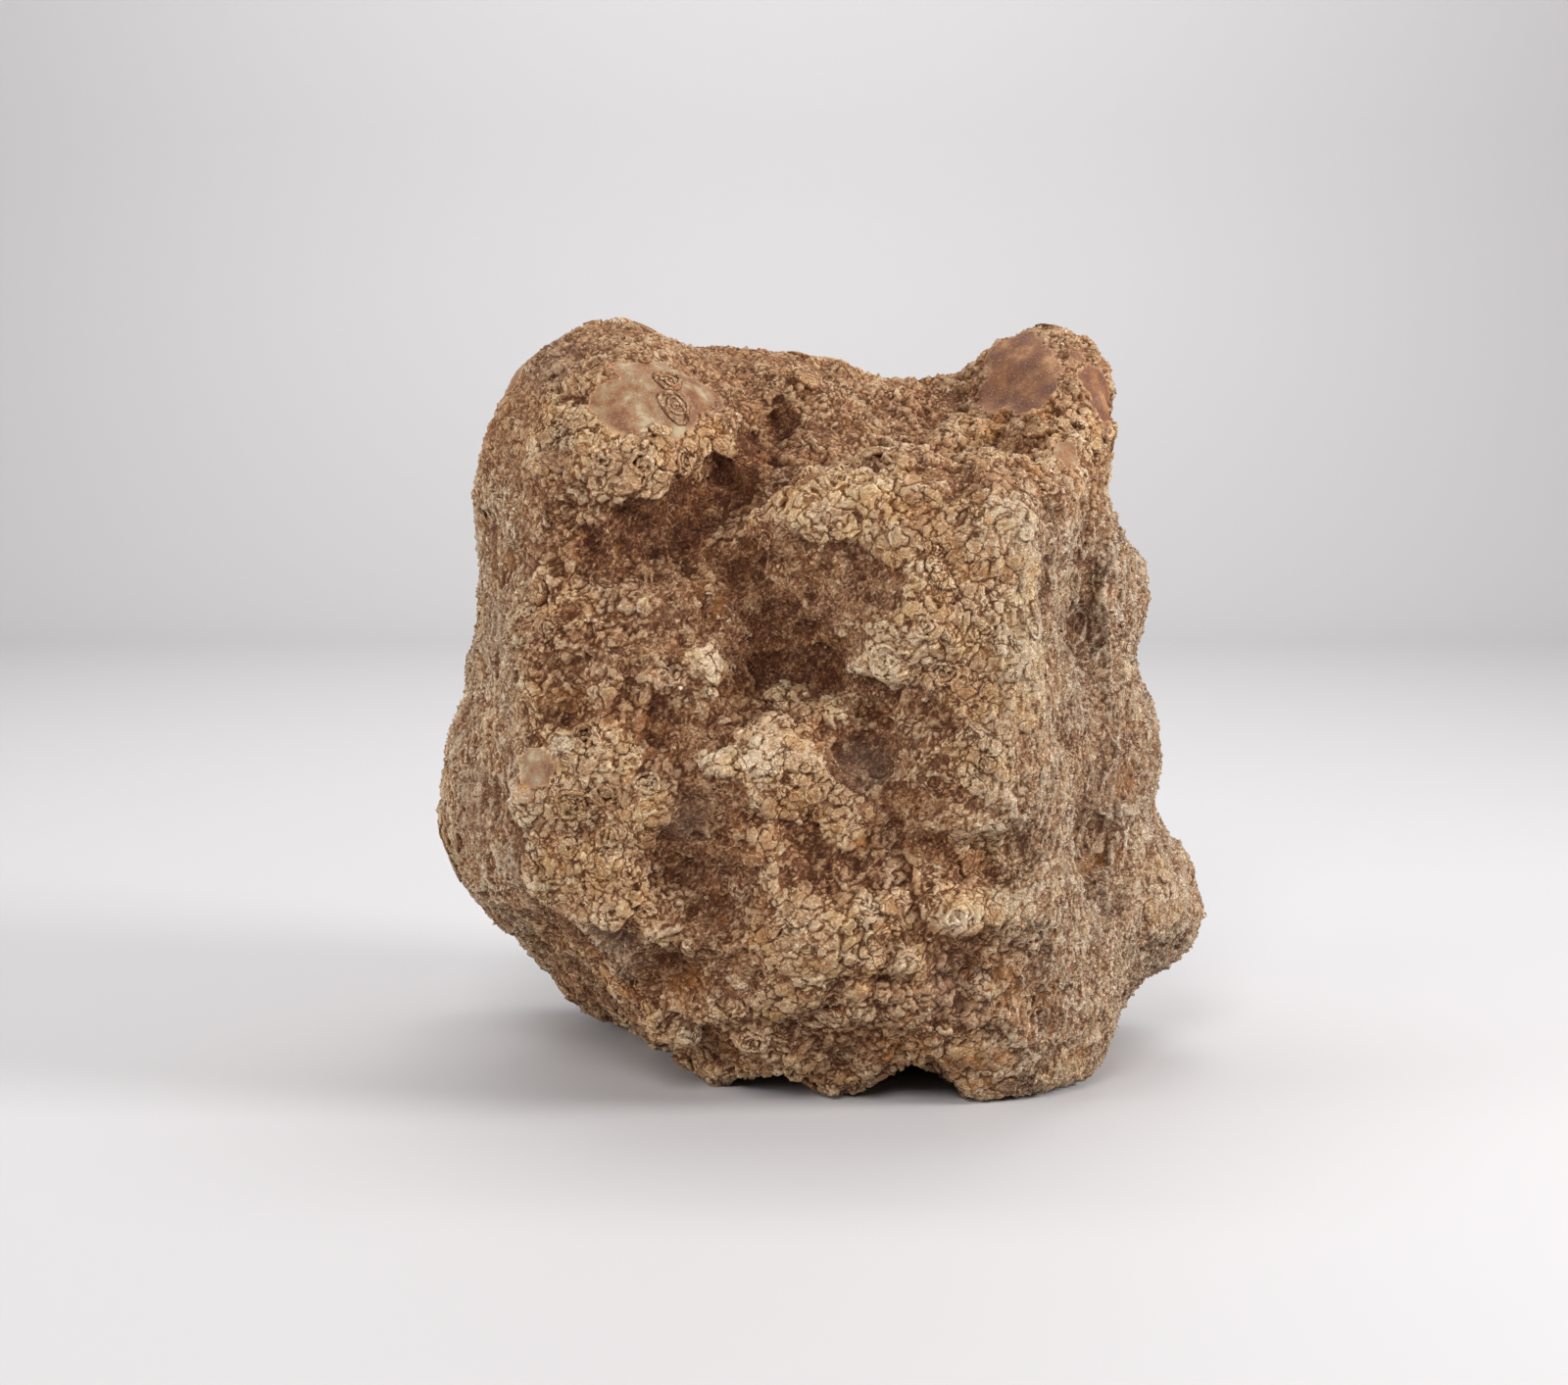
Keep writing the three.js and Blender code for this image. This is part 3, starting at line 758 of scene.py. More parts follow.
def grown_on(skin, tree, values, mask=None):
    """The plain mesh that a tree makes on a skin, with its inputs set by name."""
    base = placed("grown", skin)
    modifier = base.modifiers.new("grow", "NODES")
    modifier.node_group = tree
    sockets = {item.name: item.identifier for item in tree.interface.items_tree if item.in_out == "INPUT"}
    for name, value in values.items():
        modifier[sockets[name]] = value
    if mask:
        modifier[sockets["Mask"] + "_use_attribute"] = True
        modifier[sockets["Mask"] + "_attribute_name"] = mask
    mesh = evaluated_mesh(base)
    bpy.data.objects.remove(base)
    return mesh


def scattered(skin, tree, spacing, mask, seed):
    """Places of points sown over a skin, in millimetres."""
    return corners_of(grown_on(skin, tree, {"Spacing": spacing * MM, "Seed": seed}, mask))


# ---- Crust plates ----


def apart(places, others, clearance):
    """Which places lie further than their clearance from all the others."""
    if not len(others):
        return np.ones(len(places), bool)
    near = tree_of(others)
    return np.array([near.find(p)[2] for p in places.tolist()]) > clearance


def tangents(outward, turn):
    """Two directions across each outward direction, the first turned from the level by an angle."""
    helper = np.where(np.abs(outward[..., 2:]) < 0.8, [0.0, 0.0, 1.0], [1.0, 0.0, 0.0])
    level = np.cross(helper, outward)
    level /= np.linalg.norm(level, axis=-1, keepdims=True)
    rising = np.cross(outward, level)
    across = level * np.cos(turn)[..., None] + rising * np.sin(turn)[..., None]
    return across, np.cross(outward, across)


def cell_rims(centres, outward, sizes, own, chance):
    """How far each plate reaches in each direction before it meets its neighbours."""
    near = tree_of(centres)
    neighbours = np.array([[hit[1] for hit in near.find_n(p, 17)][1:] for p in centres[own].tolist()])
    grain = 2.2 * swell(centres[own], 16, 21)
    across, along = tangents(outward[own], grain)
    stretch = math.sqrt(PLATE_STRETCH)
    offset = centres[neighbours] - centres[own][:, None]
    flat = np.stack(
        [(offset * across[:, None]).sum(2) / stretch, (offset * along[:, None]).sum(2) * stretch], axis=2,
    )
    length = np.linalg.norm(flat, axis=2) + 1e-6
    share = sizes[own][:, None] / (sizes[own][:, None] + sizes[neighbours])
    turn = np.arange(PLATE_CORNERS) * 2 * math.pi / PLATE_CORNERS
    turn = turn + chance.uniform(0, 2 * math.pi, (own.sum(), 1))
    turn += chance.uniform(-0.16, 0.16, turn.shape)
    ways = np.stack([np.cos(turn), np.sin(turn)], axis=2)
    facing = np.einsum("nki,nji->nkj", ways, flat / length[:, :, None])
    limit = np.where(facing > 0.05, (length * share)[:, None] / np.maximum(facing, 0.05), 99.0)
    free = np.clip(sizes[own][:, None], 1.0, 3.4) * chance.uniform(0.5, 0.95, turn.shape)
    reach = np.minimum(limit.min(axis=2) * chance.uniform(0.88, 1.06, turn.shape), free)
    reach = 0.8 * reach + 0.1 * (np.roll(reach, 1, axis=1) + np.roll(reach, -1, axis=1))
    reach = np.maximum(reach - PLATE_GAP, 0.15)
    ways *= reach[..., None] * (stretch, 1 / stretch)
    return ways[..., :1] * across[:, None] + ways[..., 1:] * along[:, None]


def fan_faces(corners, rings):
    """Faces of a closed plate: its underside, the bands between its rings, and the fan on its crown."""
    faces = [tuple(reversed(range(corners)))]
    for level in range(rings - 1):
        for k in range(corners):
            a = level * corners + k
            b = level * corners + (k + 1) % corners
            faces.append((a, b, b + corners, a + corners))
    top = (rings - 1) * corners
    faces += [(top + k, top + (k + 1) % corners, rings * corners) for k in range(corners)]
    return faces


def plates(centres, outward, rims, heights, tone, ground, chance):
    """Closed plates that fit against one another, each with a raised rim round a dished middle."""
    count, corners = rims.shape[:2]
    flat = centres[:, None] + rims
    seated = ground.seated(flat)
    bent = 0.55 * seated + 0.45 * flat
    lean = (rims * chance.uniform(-0.12, 0.12, (count, 1, 3))).sum(axis=2)
    up = outward[:, None]
    rings = [seated - up * SINK]
    rises = [np.zeros((count, corners))]
    for share, rise in PLATE_RINGS:
        lumps = chance.uniform(-0.16, 0.16, (count, corners)) * rise
        lift = heights[:, None] * (rise + lumps) + share * lean
        rings.append(centres[:, None] + (bent - centres[:, None]) * share + up * lift[..., None])
        rises.append(np.full((count, corners), rise))
    crown = centres + outward * (heights * chance.uniform(0.3, 1.1, count))[:, None]
    points = np.concatenate([np.stack(rings, axis=1).reshape(count, -1, 3), crown[:, None]], axis=1)
    rise = np.concatenate([np.stack(rises, axis=1).reshape(count, -1), np.full((count, 1), 0.7)], axis=1)
    return pieces_of(points, fan_faces(corners, len(rings)), rise, tone, centres, ground)


def pieces_of(points, faces, rise, tone, centres, ground):
    """Repeated groups of points with the numbers that their finish reads."""
    stride = points.shape[1]
    under = ground.closest(centres)
    points[..., 2] = np.maximum(points[..., 2], 0.0)
    # Each piece is painted darker low down where it meets the skin, as painted shade, and lighter on its
    # crown, as painted highlight.
    fields = {
        "rest": points.reshape(-1, 3), "shade": np.repeat(tone, stride), "cavity_shade": (1.6 - 1.4 * rise).ravel(),
    }
    for name in ("crust", "clay", "flank", "whole", "curly", "hollow", "rust", "ash"):
        fields[name] = np.repeat(ground.cover[name][under], stride)
    return {"points": points.reshape(-1, 3), "faces": faces, "count": len(points), "fields": fields}


def mesh_from(name, parts):
    """A mesh from repeated groups of faces over arrays of points."""
    loops = np.concatenate([np.array(face) for face in parts["faces"]])
    sizes = np.array([len(face) for face in parts["faces"]])
    stride = len(parts["points"]) // parts["count"]
    corners = (loops[None] + np.arange(parts["count"])[:, None] * stride).ravel()
    totals = np.tile(sizes, parts["count"])
    mesh = bpy.data.meshes.new(name)
    mesh.vertices.add(len(parts["points"]))
    mesh.vertices.foreach_set("co", (parts["points"] * MM).astype(np.float32).ravel())
    mesh.loops.add(len(corners))
    mesh.loops.foreach_set("vertex_index", corners.astype(np.int32))
    mesh.polygons.add(len(totals))
    mesh.polygons.foreach_set("loop_start", np.concatenate([[0], np.cumsum(totals)[:-1]]).astype(np.int32))
    mesh.update(calc_edges=True)
    for field, values in parts["fields"].items():
        paint(mesh, field, values)
    mesh.shade_smooth()
    return mesh


# ---- Rings and curls ----


def band_faces(steps, closed):
    """Faces of a band: a strip round its section between one step and the next, capped if it is open."""
    sides = len(BAND_SECTION)
    faces = []
    for step in range(steps if closed else steps - 1):
        for k in range(sides):
            a = step * sides + k
            b = step * sides + (k + 1) % sides
            further = (step + 1) % steps * sides
            faces.append((a, further + k, further + (k + 1) % sides, b))
    if not closed:
        last = (steps - 1) * sides
        faces.append(tuple(range(sides)))
        faces.append(tuple(last + k for k in reversed(range(sides))))
    return faces


def bands(paths, widths, heights, tone, closed, ground):
    """Low walls that follow paths over the ground."""
    count, steps = paths.shape[:2]
    path = ground.seated(paths)
    up = ground.outward(path)
    if closed:
        ahead = np.roll(path, -1, axis=1) - np.roll(path, 1, axis=1)
    else:
        ahead = np.gradient(path, axis=1)
    aside = np.cross(ahead, up)
    aside /= np.linalg.norm(aside, axis=-1, keepdims=True) + 1e-9
    corners = []
    for across, rise in BAND_SECTION:
        lift = np.full_like(heights, -SINK) if rise is None else heights * rise
        corners.append(path + aside * (widths * across)[..., None] + up * lift[..., None])
    points = np.stack(corners, axis=2).reshape(count, -1, 3)
    rise = np.array([rise or 0.0 for _, rise in BAND_SECTION])
    rise = np.tile(rise, (count, steps))
    return pieces_of(points, band_faces(steps, closed), rise, tone, path.mean(axis=1), ground)


def ring_walls(centres, outward, radii, width, height, tone, ground, chance):
    """Wavering round walls, notched where they have cracked."""
    count = len(centres)
    turn = np.arange(RING_STEPS) * 2 * math.pi / RING_STEPS
    phase = chance.uniform(0, 2 * math.pi, (5, count, 1))
    wave = 0.14 * np.sin(2 * turn + phase[0]) + 0.10 * np.sin(3 * turn + phase[1])
    wave += 0.06 * np.sin(5 * turn + phase[2])
    across, along = tangents(outward, phase[3, :, 0])
    reach = radii[:, None] * (1.0 + wave)
    path = centres[:, None] + (np.cos(turn) * reach)[..., None] * across[:, None]
    path += (np.sin(turn) * reach)[..., None] * along[:, None]
    cracked = chance.uniform(0, 1, (count, RING_STEPS)) < 0.14
    heights = height[:, None] * (1.0 + 0.2 * np.sin(2 * turn + phase[4])) * np.where(cracked, 0.45, 1.0)
    heights *= chance.uniform(0.85, 1.15, heights.shape)
    widths = width[:, None] * chance.uniform(0.8, 1.15, heights.shape) * np.where(cracked, 0.75, 1.0)
    return bands(path, widths, heights, tone, True, ground)


def curl_walls(centres, outward, flank, tone, ground, chance):
    """The raised edges of curled flakes: short arcs, drawn out upright on the streaked flank."""
    count = len(centres)
    upright = chance.uniform(0, 1, count) < 0.85 * flank
    radius = np.where(upright, chance.uniform(3.0, 7.0, count), chance.uniform(0.35, 0.9, count))
    sweep = np.where(upright, chance.uniform(0.35, 0.75, count), chance.uniform(1.2, 4.2, count))
    start = np.where(upright, chance.normal(0.0, 0.25, count), chance.uniform(0, 2 * math.pi, count))
    way = np.linspace(-0.5, 0.5, CURL_STEPS) * sweep[:, None]
    across, along = tangents(outward, start)
    side = np.where(chance.uniform(0, 1, count) < 0.5, 1.0, -1.0)
    wobble = 1.0 + chance.normal(0, 0.07, way.shape)
    level = (radius[:, None] * (np.cos(way) * wobble - 1.0)) * side[:, None]
    path = centres[:, None] + level[..., None] * across[:, None]
    path += (radius[:, None] * np.sin(way))[..., None] * along[:, None]
    taper = np.sin(np.linspace(0.25, math.pi - 0.25, CURL_STEPS)) ** 0.5
    heights = chance.uniform(0.06, 0.2, (count, 1)) * taper * chance.uniform(0.8, 1.2, way.shape)
    widths = chance.uniform(0.2, 0.36, (count, 1)) * taper * chance.uniform(0.85, 1.15, way.shape)
    return bands(path, widths, heights, tone, False, ground)


# ---- Finishes ----


def ramp(value, stops):
    """Colours between stops along 0 to 1."""
    node = place_node(value.tree, "ShaderNodeValToRGB", Fac=value)
    band = node.color_ramp
    while len(band.elements) < len(stops):
        band.elements.new(0.5)
    for element, (at, color) in zip(band.elements, stops):
        element.position = at
        element.color = color
    return Flow(node.outputs["Color"])


def mixed(share, first, second, kind="MIX"):
    """Two colours mixed by a share."""
    settings = {"data_type": "RGBA", "blend_type": kind}
    return made(share.tree, "ShaderNodeMix", 2, settings, i0=share, i6=first, i7=second)


def in_millimetres(tree):
    """The place on the piece, in millimetres."""
    return vector_math("SCALE", made(tree, "ShaderNodeTexCoord", "Object"), Scale=1.0 / MM)


def painted(tree, name, output="Fac"):
    return made(tree, "ShaderNodeAttribute", output, {"attribute_name": name})


def grain_group():
    """Curled edges and grit, which every finish on the stone shares."""
    tree, given, result = new_group(
        "mineral grain", "ShaderNodeTree", {"Grit Size": ("Float", 0.3)},
        {"Curl": "Float", "Grit": "Float", "Height": "Float"},
    )
    where = in_millimetres(tree)
    wander = bent_place(where, 1.6, 1.7)
    curl = folds(wander, 1.5).larger(folds(wander, 0.7, 0.08) * 0.6)
    grit = cloud(where, given["Grit Size"], 2.0, roughness=0.65)
    join(result, Curl=curl, Grit=grit, Height=grit * 0.9 + curl * 0.7)
    return tree


def crust_group():
    """The plates of the crust, drawn where the crust tree raised them; their height is given for painted
    light and shade on them.
    """
    tree, given, result = new_group(
        "cracked crust", "ShaderNodeTree",
        {"Place": ("Vector", None), "Whole": ("Float", 0.5), "Crust": ("Float", 1.0)},
        dict.fromkeys(("Crack", "Rim", "Dish", "Plate Tone", "Height"), "Float"),
    )
    inside, plate_chance, dish, ring = cracked_crust(given["Place"], given["Whole"])
    join(
        result, Plate_Tone=plate_chance, Dish=between(inside, 0.3, 0.7) * dish,
        Crack=between(inside, 0.01, 0.12, 1.0, 0.0).larger(ring * 0.7),
        Rim=between(inside, 0.08, 0.2) * between(inside, 0.25, 0.5, 1.0, 0.0),
        Height=plate_profile(inside, dish, given["Crust"], 0.22) - ring * 0.4,
    )
    return tree


def colour_group():
    """The stone's own colours from dark clay to pale crust, with its stains and its cracks."""
    names = ("Rust", "Ash", "Crust", "Crack")
    tree, given, result = new_group(
        "stone colours", "ShaderNodeTree", {"Tone": ("Float", 0.5), **dict.fromkeys(names, ("Float", 0.0))},
        {"Colour": "Color"},
    )
    where = in_millimetres(tree)
    fine = cloud(where, 1.6, 2.0)
    warmth = between(cloud(where, 7.0, 2.0), 0.42, 0.66, 0.0, 0.4)
    warm = mixed(warmth, ramp(given["Tone"], STONE_COLOURS), WARM_TINT, "MULTIPLY")
    ochre = between(cloud(where, 5.0), 0.46, 0.62, 0.0, 0.5) + 0.4
    warm = mixed(ochre * blend(given["Crust"], 0.4, 1.0), warm, OCHRE_TINT, "MULTIPLY")
    stain = given["Rust"] * between(fine, 0.40, 0.62, 0.1, 0.75)
    fleck = between(fine, 0.60, 0.70, 0.0, 0.5) * 0.6
    rusty = mixed(stain.larger(fleck), warm, RUST_COLOUR)
    ashy = mixed(given["Ash"] * 0.26, rusty, ASH_COLOUR)
    join(result, Colour=mixed(given["Crack"], ashy, CRACK_COLOUR))
    return tree


def grouped(tree, group, **inputs):
    """A shared group put to use: its outputs by name."""
    node = place_node(tree, "ShaderNodeGroup", {"node_tree": group}, **inputs)
    return {socket.name: Flow(socket) for socket in node.outputs}


def new_finish(name):
    """A material, its tree and its shader."""
    finish = bpy.data.materials.new(name)
    finish.use_nodes = True
    return finish, finish.node_tree, finish.node_tree.nodes["Principled BSDF"]


def stone_colour(tree, groups, tone, crack):
    """The stone's colour at a tone, with the stains painted on the piece."""
    stains = {name: painted(tree, name.lower()) for name in ("Rust", "Ash", "Crust")}
    return grouped(tree, groups["colours"], Tone=tone, Crack=crack, **stains)["Colour"]


def varied(tone, *changes):
    """A tone with noises added around it, each as (noise, amount, middle)."""
    for value, amount, middle in changes:
        tone = tone + (value - middle) * amount
    return tone


def bumped(height, strength, distance):
    reach = distance * MM
    return made(height.tree, "ShaderNodeBump", "Normal", Height=height, Strength=strength, Distance=reach)


def skin_finish(groups):
    """Cracked tan crust with pale rims, going over to brown clay with pale curls, and pits and hollows
    darkened by painted shade.
    """
    finish, tree, shader = new_finish("crust and clay")
    rest = painted(tree, "rest", "Vector")
    clay, flank = painted(tree, "clay"), painted(tree, "flank")
    grain = grouped(tree, groups["grain"], Grit_Size=0.35)
    plate = grouped(
        tree, groups["crust"], Place=rest, Whole=painted(tree, "whole"), Crust=painted(tree, "crust"),
    )
    plated = blend(clay, 1.0, 0.35)
    fibre = cloud(stretched(rest, 0.2), 0.7, 2.0)
    hair = folds(stretched(rest, 0.3), 0.6, 0.09)
    # Painted light and shade in the tone: higher crust is painted lighter and lower crust darker, hollows and
    # cavities are painted darker, and raised pieces are painted lighter on their crowns.
    tone = varied(
        painted(tree, "shade"), (plate["Plate Tone"], 0.18, 0.5), (grain["Grit"], 0.62, 0.5),
        (plate["Rim"] * plated, 0.08, 0.3), (plate["Dish"] * plated, -0.12, 0.3),
        (grain["Curl"] * painted(tree, "curly"), 0.1, 0.1), (plate["Height"], 0.14, 0.5),
        (painted(tree, "hollow"), -0.05, 0.45), (painted(tree, "cavity_shade"), -0.38, 0.45),
    )
    tone = tone + flank * varied(0.0, (fibre, 0.7, 0.5), (ribs(rest), 0.6, 0.4), (hair, 0.3, 0.3))
    tone = tone + flank.larger(clay) * varied(0.0, (grain["Grit"], 0.5, 0.5), (grain["Curl"], 0.16, 0.1))
    parted = between(cloud(rest, 3.6), 0.40, 0.58, 0.25, 1.0)
    crack = plate["Crack"] * (blend(clay, 0.95, 0.4) * blend(flank, 1.0, 0.8) * parted)
    join(
        shader, Base_Color=stone_colour(tree, groups, tone, crack), Roughness=0.85, Specular_IOR_Level=0.12,
        Normal=bumped(grain["Height"] * 0.5 + hair * 0.5 * flank, 1.0, 0.6),
    )
    return finish


def window_finish(groups):
    """Bare chalcedony where the crust is gone: milky on the knob, honey coloured on the horn."""
    finish, tree, shader = new_finish("bare chalcedony")
    where = in_millimetres(tree)
    grain = grouped(tree, groups["grain"], Grit_Size=0.3)
    broad = cloud(where, 3.4, 3.0)
    vein = between(cloud(where, 6.0).folded(0.12), 0.0, 0.010, 0.75, 0.0)
    milky = mixed(vein, ramp(broad, MILKY_COLOURS), VEIN_COLOUR)
    bare = mixed(painted(tree, "honey"), milky, ramp(broad, HONEY_COLOURS))
    bare = mixed(between(grain["Grit"], 0.55, 0.70) * 0.3, bare, SPECKLE_COLOUR)
    bare = mixed(between(cloud(where, 3.0, 2.0), 0.55, 0.7, 0.0, 0.12), bare, ASH_COLOUR)
    tone = varied(painted(tree, "shade"), (grain["Grit"], 0.9, 0.5))
    dusty = stone_colour(tree, groups, tone, grain["Curl"] * 0.2)
    edge = varied(painted(tree, "window"), (grain["Grit"], 0.8, 0.5))
    join(
        shader, Base_Color=mixed(between(edge, 0.55, 0.9), dusty, bare), Roughness=0.62,
        Subsurface_Weight=0.2, Subsurface_Radius=(1.0, 0.6, 0.35), Subsurface_Scale=2.5 * MM,
        Normal=bumped(grain["Height"], 0.3, 0.15),
    )
    return finish


# ---- Putting the stone together ----


def keep_piece(name, mesh, *finishes):
    """A finished piece of the stone, riding on its body and standing for the solid."""
    for finish in finishes:
        mesh.materials.append(finish)
    piece = placed(name, mesh)
    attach(piece, "root")
    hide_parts("geode")


def sown_rosettes(skin, ground, scatter, chance):
    """Places and radii of all rosettes: the known ones, and some more wherever the crust is thick."""
    known = np.array(ROSETTES, float)
    known[:, :3] = ground.seated(known[:, :3])
    more = scattered(skin, scatter, 20.0, "ringed", 15)
    more = more[(more[:, 2] > 4) & apart(more, known[:, :3], 12.0)]
    radii = chance.uniform(1.3, 2.5, (len(more), 1))
    return np.concatenate([known, np.concatenate([more, radii], axis=1)])


def build_rosettes(rosettes, ground, finish, chance):
    """Nested round walls, the inner ones lower, on every rosette."""
    rows = []
    for share, rise in ((0.86, 1.0), (0.48, 0.8), (0.16, 0.7)):
        chosen = rosettes[rosettes[:, 3] * share > 0.28]
        rows.append(np.concatenate([chosen, np.tile((share, rise), (len(chosen), 1))], axis=1))
    rows = np.concatenate(rows)
    centres, radii = rows[:, :3], rows[:, 3] * rows[:, 4]
    tone = ground.covered("shade", centres) + chance.normal(0.03, 0.03, len(rows))
    width = np.minimum(RING_WIDTH * chance.uniform(0.8, 1.2, len(rows)), 0.8 * radii)
    height = RING_HEIGHT * rows[:, 5] * chance.uniform(0.75, 1.1, len(rows))
    parts = ring_walls(centres, ground.outward(centres), radii, width, height, tone, ground, chance)
    keep_piece("rosettes", mesh_from("rosettes", parts), finish)


def build_plates(skin, ground, rosettes, finish, scatter, chance):
    """Small low plates in the room that the rosettes leave."""
    places = scattered(skin, scatter, PLATE_SPACING, "small_plates", 12)
    near = tree_of(rosettes[:, :3])
    found = [near.find(p) for p in places.tolist()]
    room = np.array([away - rosettes[other, 3] for _, other, away in found])
    places = places[(places[:, 2] > 1.2) & (room > 0.28 * PLATE_SPACING)]
    centres = np.concatenate([rosettes[:, :3], places])
    own = np.arange(len(centres)) >= len(rosettes)
    facing = ground.outward(centres)
    widths = PLATE_SPACING * np.exp(chance.normal(0.08, 0.28, len(places)))
    rims = cell_rims(centres, facing, np.concatenate([2.0 * rosettes[:, 3], widths]), own, chance)
    low, high = PLATE_HEIGHTS
    level = 0.5 + 0.5 * swell(places, 5, 22) + chance.uniform(-0.25, 0.25, len(places))
    heights = low + (high - low) * np.clip(level, 0.0, 1.0)
    tone = ground.covered("shade", places) + 0.05 * chance.standard_normal(len(places))
    parts = plates(places, facing[own], rims, heights, tone, ground, chance)
    keep_piece("small_plates", mesh_from("small_plates", parts), finish)


def build_curls(skin, ground, rosettes, finish, scatter, chance):
    """The raised edges of curled flakes, away from the rosettes."""
    places = scattered(skin, scatter, CURL_SPACING, "curly", 16)
    places = places[(places[:, 2] > 1.5) & apart(places, rosettes[:, :3], 2.6)]
    tone = ground.covered("shade", places) + chance.uniform(0.0, 0.16, len(places))
    flank = ground.covered("flank", places)
    parts = curl_walls(places, ground.outward(places), flank, tone, ground, chance)
    keep_piece("curled_edges", mesh_from("curled_edges", parts), finish)


def build_crumbs(skin, finish):
    """Loose crumbs in the clay hollows."""
    smallest, largest = CRUMB_SIZES
    mesh = grown_on(skin, crumb_tree(), {
        "Spacing": CRUMB_SPACING * MM, "Smallest": smallest * MM, "Largest": largest * MM,
        "Sides": CRUMB_SIDES, "Seed": 31, "Finish": finish,
    }, mask="crumbly")
    mesh.name = "crumbs"
    mesh.materials.clear()
    move_corners(mesh, corners_of(mesh))
    keep_piece("crumbs", mesh, finish)


def crusted_skin(lumpy, stony, bare):
    """The lumpy skin with its crust raised on it, and how deep each place lies painted on, as painted shade
    for its finish.
    """
    mesh = grown_on(lumpy, crust_tree(), {"Stone Finish": stony, "Window Finish": bare})
    places = corners_of(mesh)
    move_corners(mesh, places)
    # How deep each place lies, painted on so that the finish paints the deeper places darker as painted
    # shade.
    cavity_shade = ((relaxed(places, edges_of(mesh), 4) - places) * normals_of(mesh)).sum(axis=1)
    paint(mesh, "cavity_shade", ease(-0.12, 0.2, cavity_shade))
    return mesh


def sliced(mesh, count):
    """A skin in slices of equal counts of faces from front to back, with its smooth shading kept."""
    corners, outward, faces = corners_of(mesh), normals_of(mesh), quads_of(mesh)
    slots = read(mesh.polygons, "material_index", 1, np.int32)
    kinds = {"FLOAT": ("value", 1), "FLOAT_VECTOR": ("vector", 3)}
    layers = {
        layer.name: read(layer.data, *kinds[layer.data_type]) for layer in mesh.attributes
        if layer.domain == "POINT" and layer.data_type in kinds and layer.name != "position"
    }
    depth = corners[faces].mean(axis=1)[:, 1]
    for share in np.array_split(np.argsort(depth, kind="stable"), count):
        share = np.sort(share)
        used, index = np.unique(faces[share], return_inverse=True)
        piece = bpy.data.meshes.new("stone")
        piece.from_pydata((corners[used] * MM).tolist(), [], index.reshape(-1, 4).tolist())
        piece.polygons.foreach_set("material_index", slots[share])
        for name, values in layers.items():
            paint(piece, name, values[used])
        piece.shade_smooth()
        piece.normals_split_custom_set_from_vertices(outward[used].tolist())
        yield piece


def build_stone():
    chance = np.random.default_rng(20)
    groups = {"grain": grain_group(), "colours": colour_group(), "crust": crust_group()}
    stony, bare = skin_finish(groups), window_finish(groups)
    lumpy, cover = lumpy_skin()
    crusted = crusted_skin(lumpy, stony, bare)
    ground = Ground(lumpy, crusted, cover)
    scatter = scatter_tree()
    rosettes = sown_rosettes(lumpy, ground, scatter, chance)
    build_rosettes(rosettes, ground, stony, chance)
    build_plates(lumpy, ground, rosettes, stony, scatter, chance)
    build_curls(lumpy, ground, rosettes, stony, scatter, chance)
    build_crumbs(lumpy, stony)
    for name, mesh in zip(SKIN_PIECES, sliced(crusted, len(SKIN_PIECES))):
        keep_piece(name, mesh, stony, bare)


# ---- The stage, in metres ----

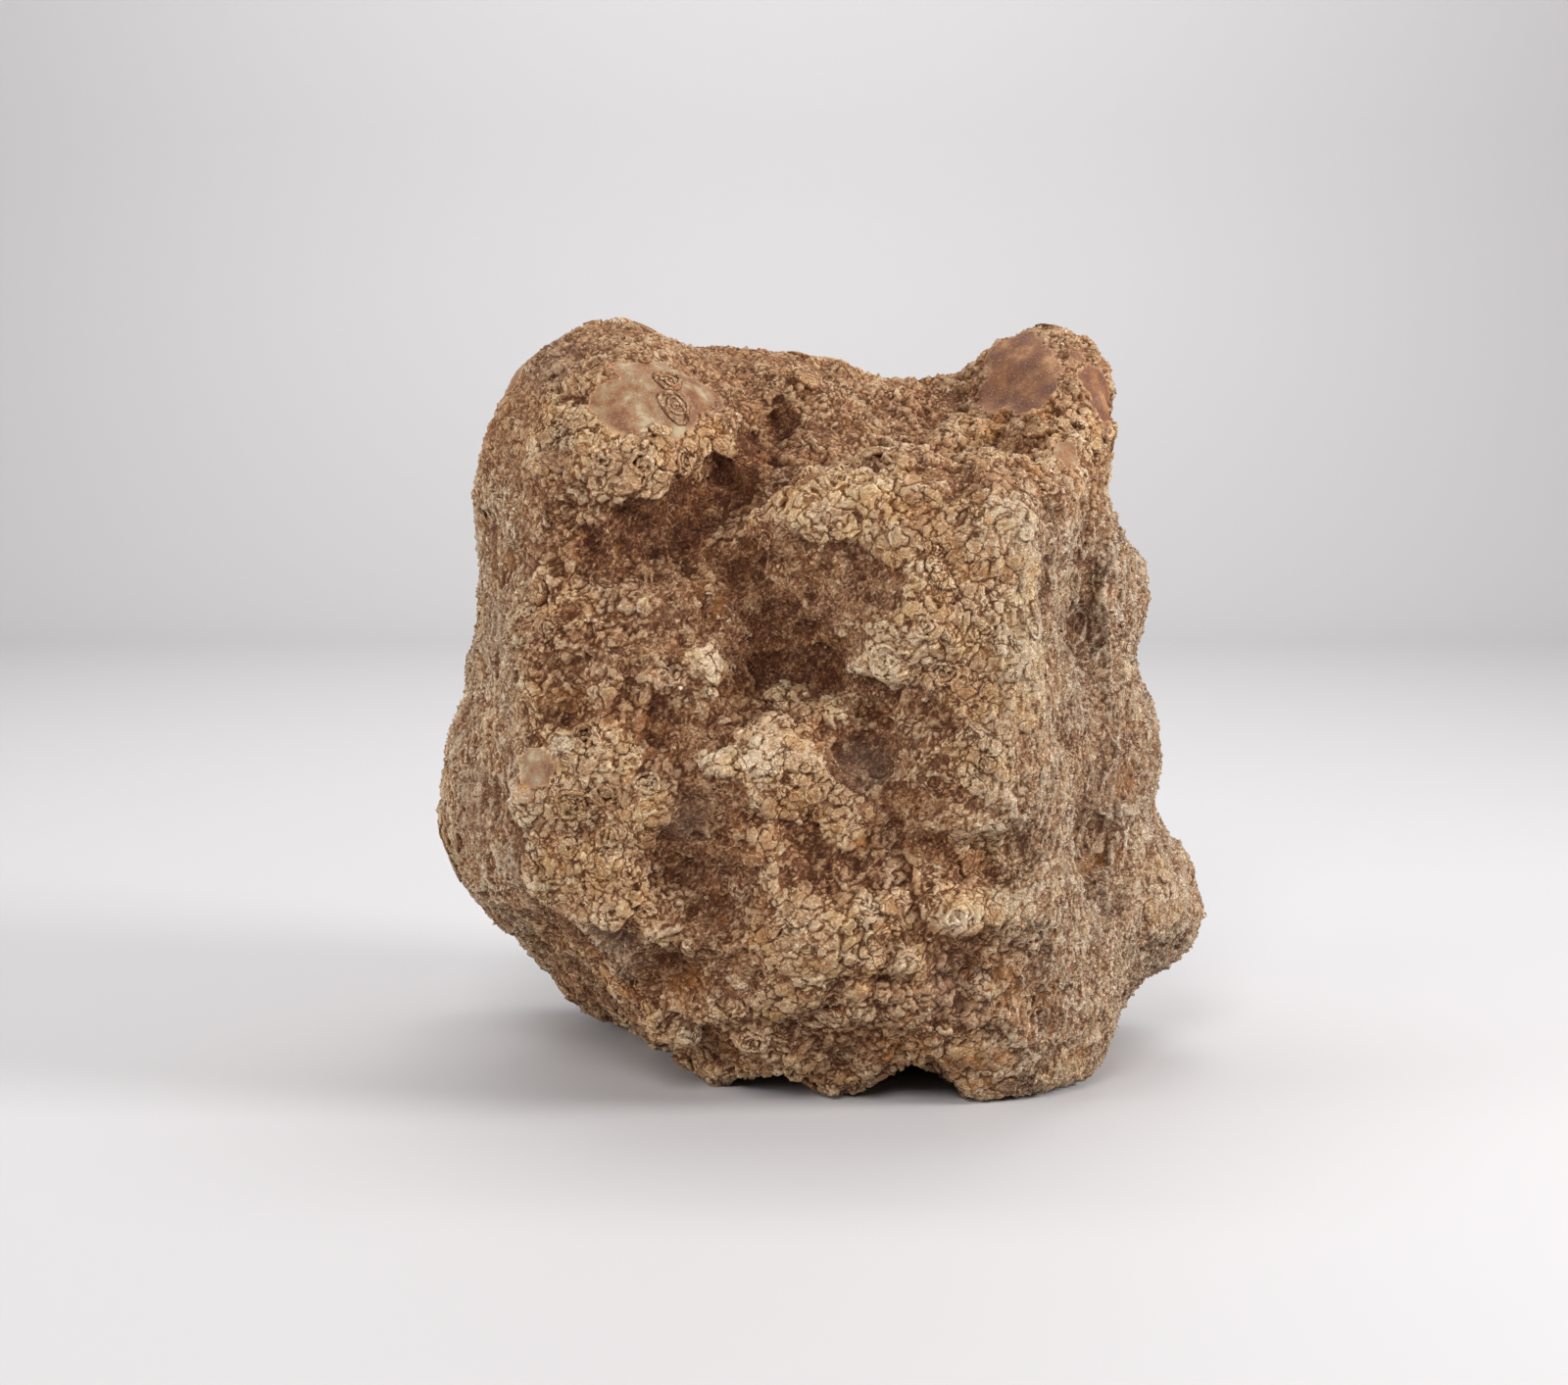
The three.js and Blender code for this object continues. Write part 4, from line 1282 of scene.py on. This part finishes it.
STONE_MIDDLE = (0.0, 0.0, 0.055)
LIGHTS = [  # name, place, size, power and aim
    ("high light", (0.12, 0.10, 0.55), 0.25, 0.5, STONE_MIDDLE),
    ("left high light", (-0.30, 0.10, 0.60), 0.30, 0.6, STONE_MIDDLE),
    ("right light", (0.50, -0.18, 0.26), 0.18, 3.5, STONE_MIDDLE),
    ("left light", (-0.60, -0.20, 0.20), 0.25, 2.1, STONE_MIDDLE),
    ("front light", (-0.12, -0.68, 0.52), 0.25, 3.5, STONE_MIDDLE),
    ("back light", (0.0, 0.35, 0.80), 0.60, 6.5, (0.0, 1.0, 0.25)),
]
SKY_STRENGTH = 0.17
EYE = (-0.00608, -0.40419, 0.099)
EYE_TILT = 84.0  # degrees up from straight down
LENS = 60.03  # in millimetres, on a picture 36 wide


def build_floor():
    """A pale floor that curves up into a pale backdrop."""
    width, front, back, bend, top, steps = 3.0, -1.2, 0.75, 0.25, 1.6, 12
    outline = [(front, 0.0)]
    for step in range(steps + 1):
        angle = step / steps * math.pi / 2
        outline.append((back + bend * math.sin(angle), bend * (1 - math.cos(angle))))
    outline.append((back + bend, top))
    points = [(x, y, z) for y, z in outline for x in (-width / 2, width / 2)]
    faces = [(2 * i, 2 * i + 1, 2 * i + 3, 2 * i + 2) for i in range(len(outline) - 1)]
    mesh = bpy.data.meshes.new("floor")
    mesh.from_pydata(points, [], faces)
    finish, _, shader = new_finish("pale floor")
    join(shader, Base_Color=FLOOR_COLOUR, Roughness=0.6)
    mesh.materials.append(finish)
    floor = placed("floor", mesh)
    mesh.shade_smooth()


def build_lights():
    """Soft square lights round the stone, and a dim sky."""
    for name, place, size, power, aim in LIGHTS:
        light = bpy.data.lights.new(name, "AREA")
        light.size = size
        light.energy = power
        lamp = placed(name, light)
        lamp.location = place
        lamp.rotation_euler = (Vector(aim) - Vector(place)).to_track_quat("-Z", "Y").to_euler()
    world = bpy.data.worlds.new("studio")
    bpy.context.scene.world = world
    world.use_nodes = True
    join(world.node_tree.nodes["Background"], Color=SKY_COLOUR, Strength=SKY_STRENGTH)
    bpy.context.scene.view_settings.view_transform = "Standard"


def build_camera():
    """In front of the stone and a little above its top, looking slightly down."""
    camera = bpy.data.cameras.new("camera")
    camera.sensor_width = 36.0
    camera.lens = LENS
    camera.clip_start = 0.02
    eye = placed("camera", camera)
    eye.location = EYE
    eye.rotation_euler = (math.radians(EYE_TILT), 0.0, 0.0)
    bpy.context.scene.camera = eye


build_camera()
build_floor()
build_lights()
build_stone()
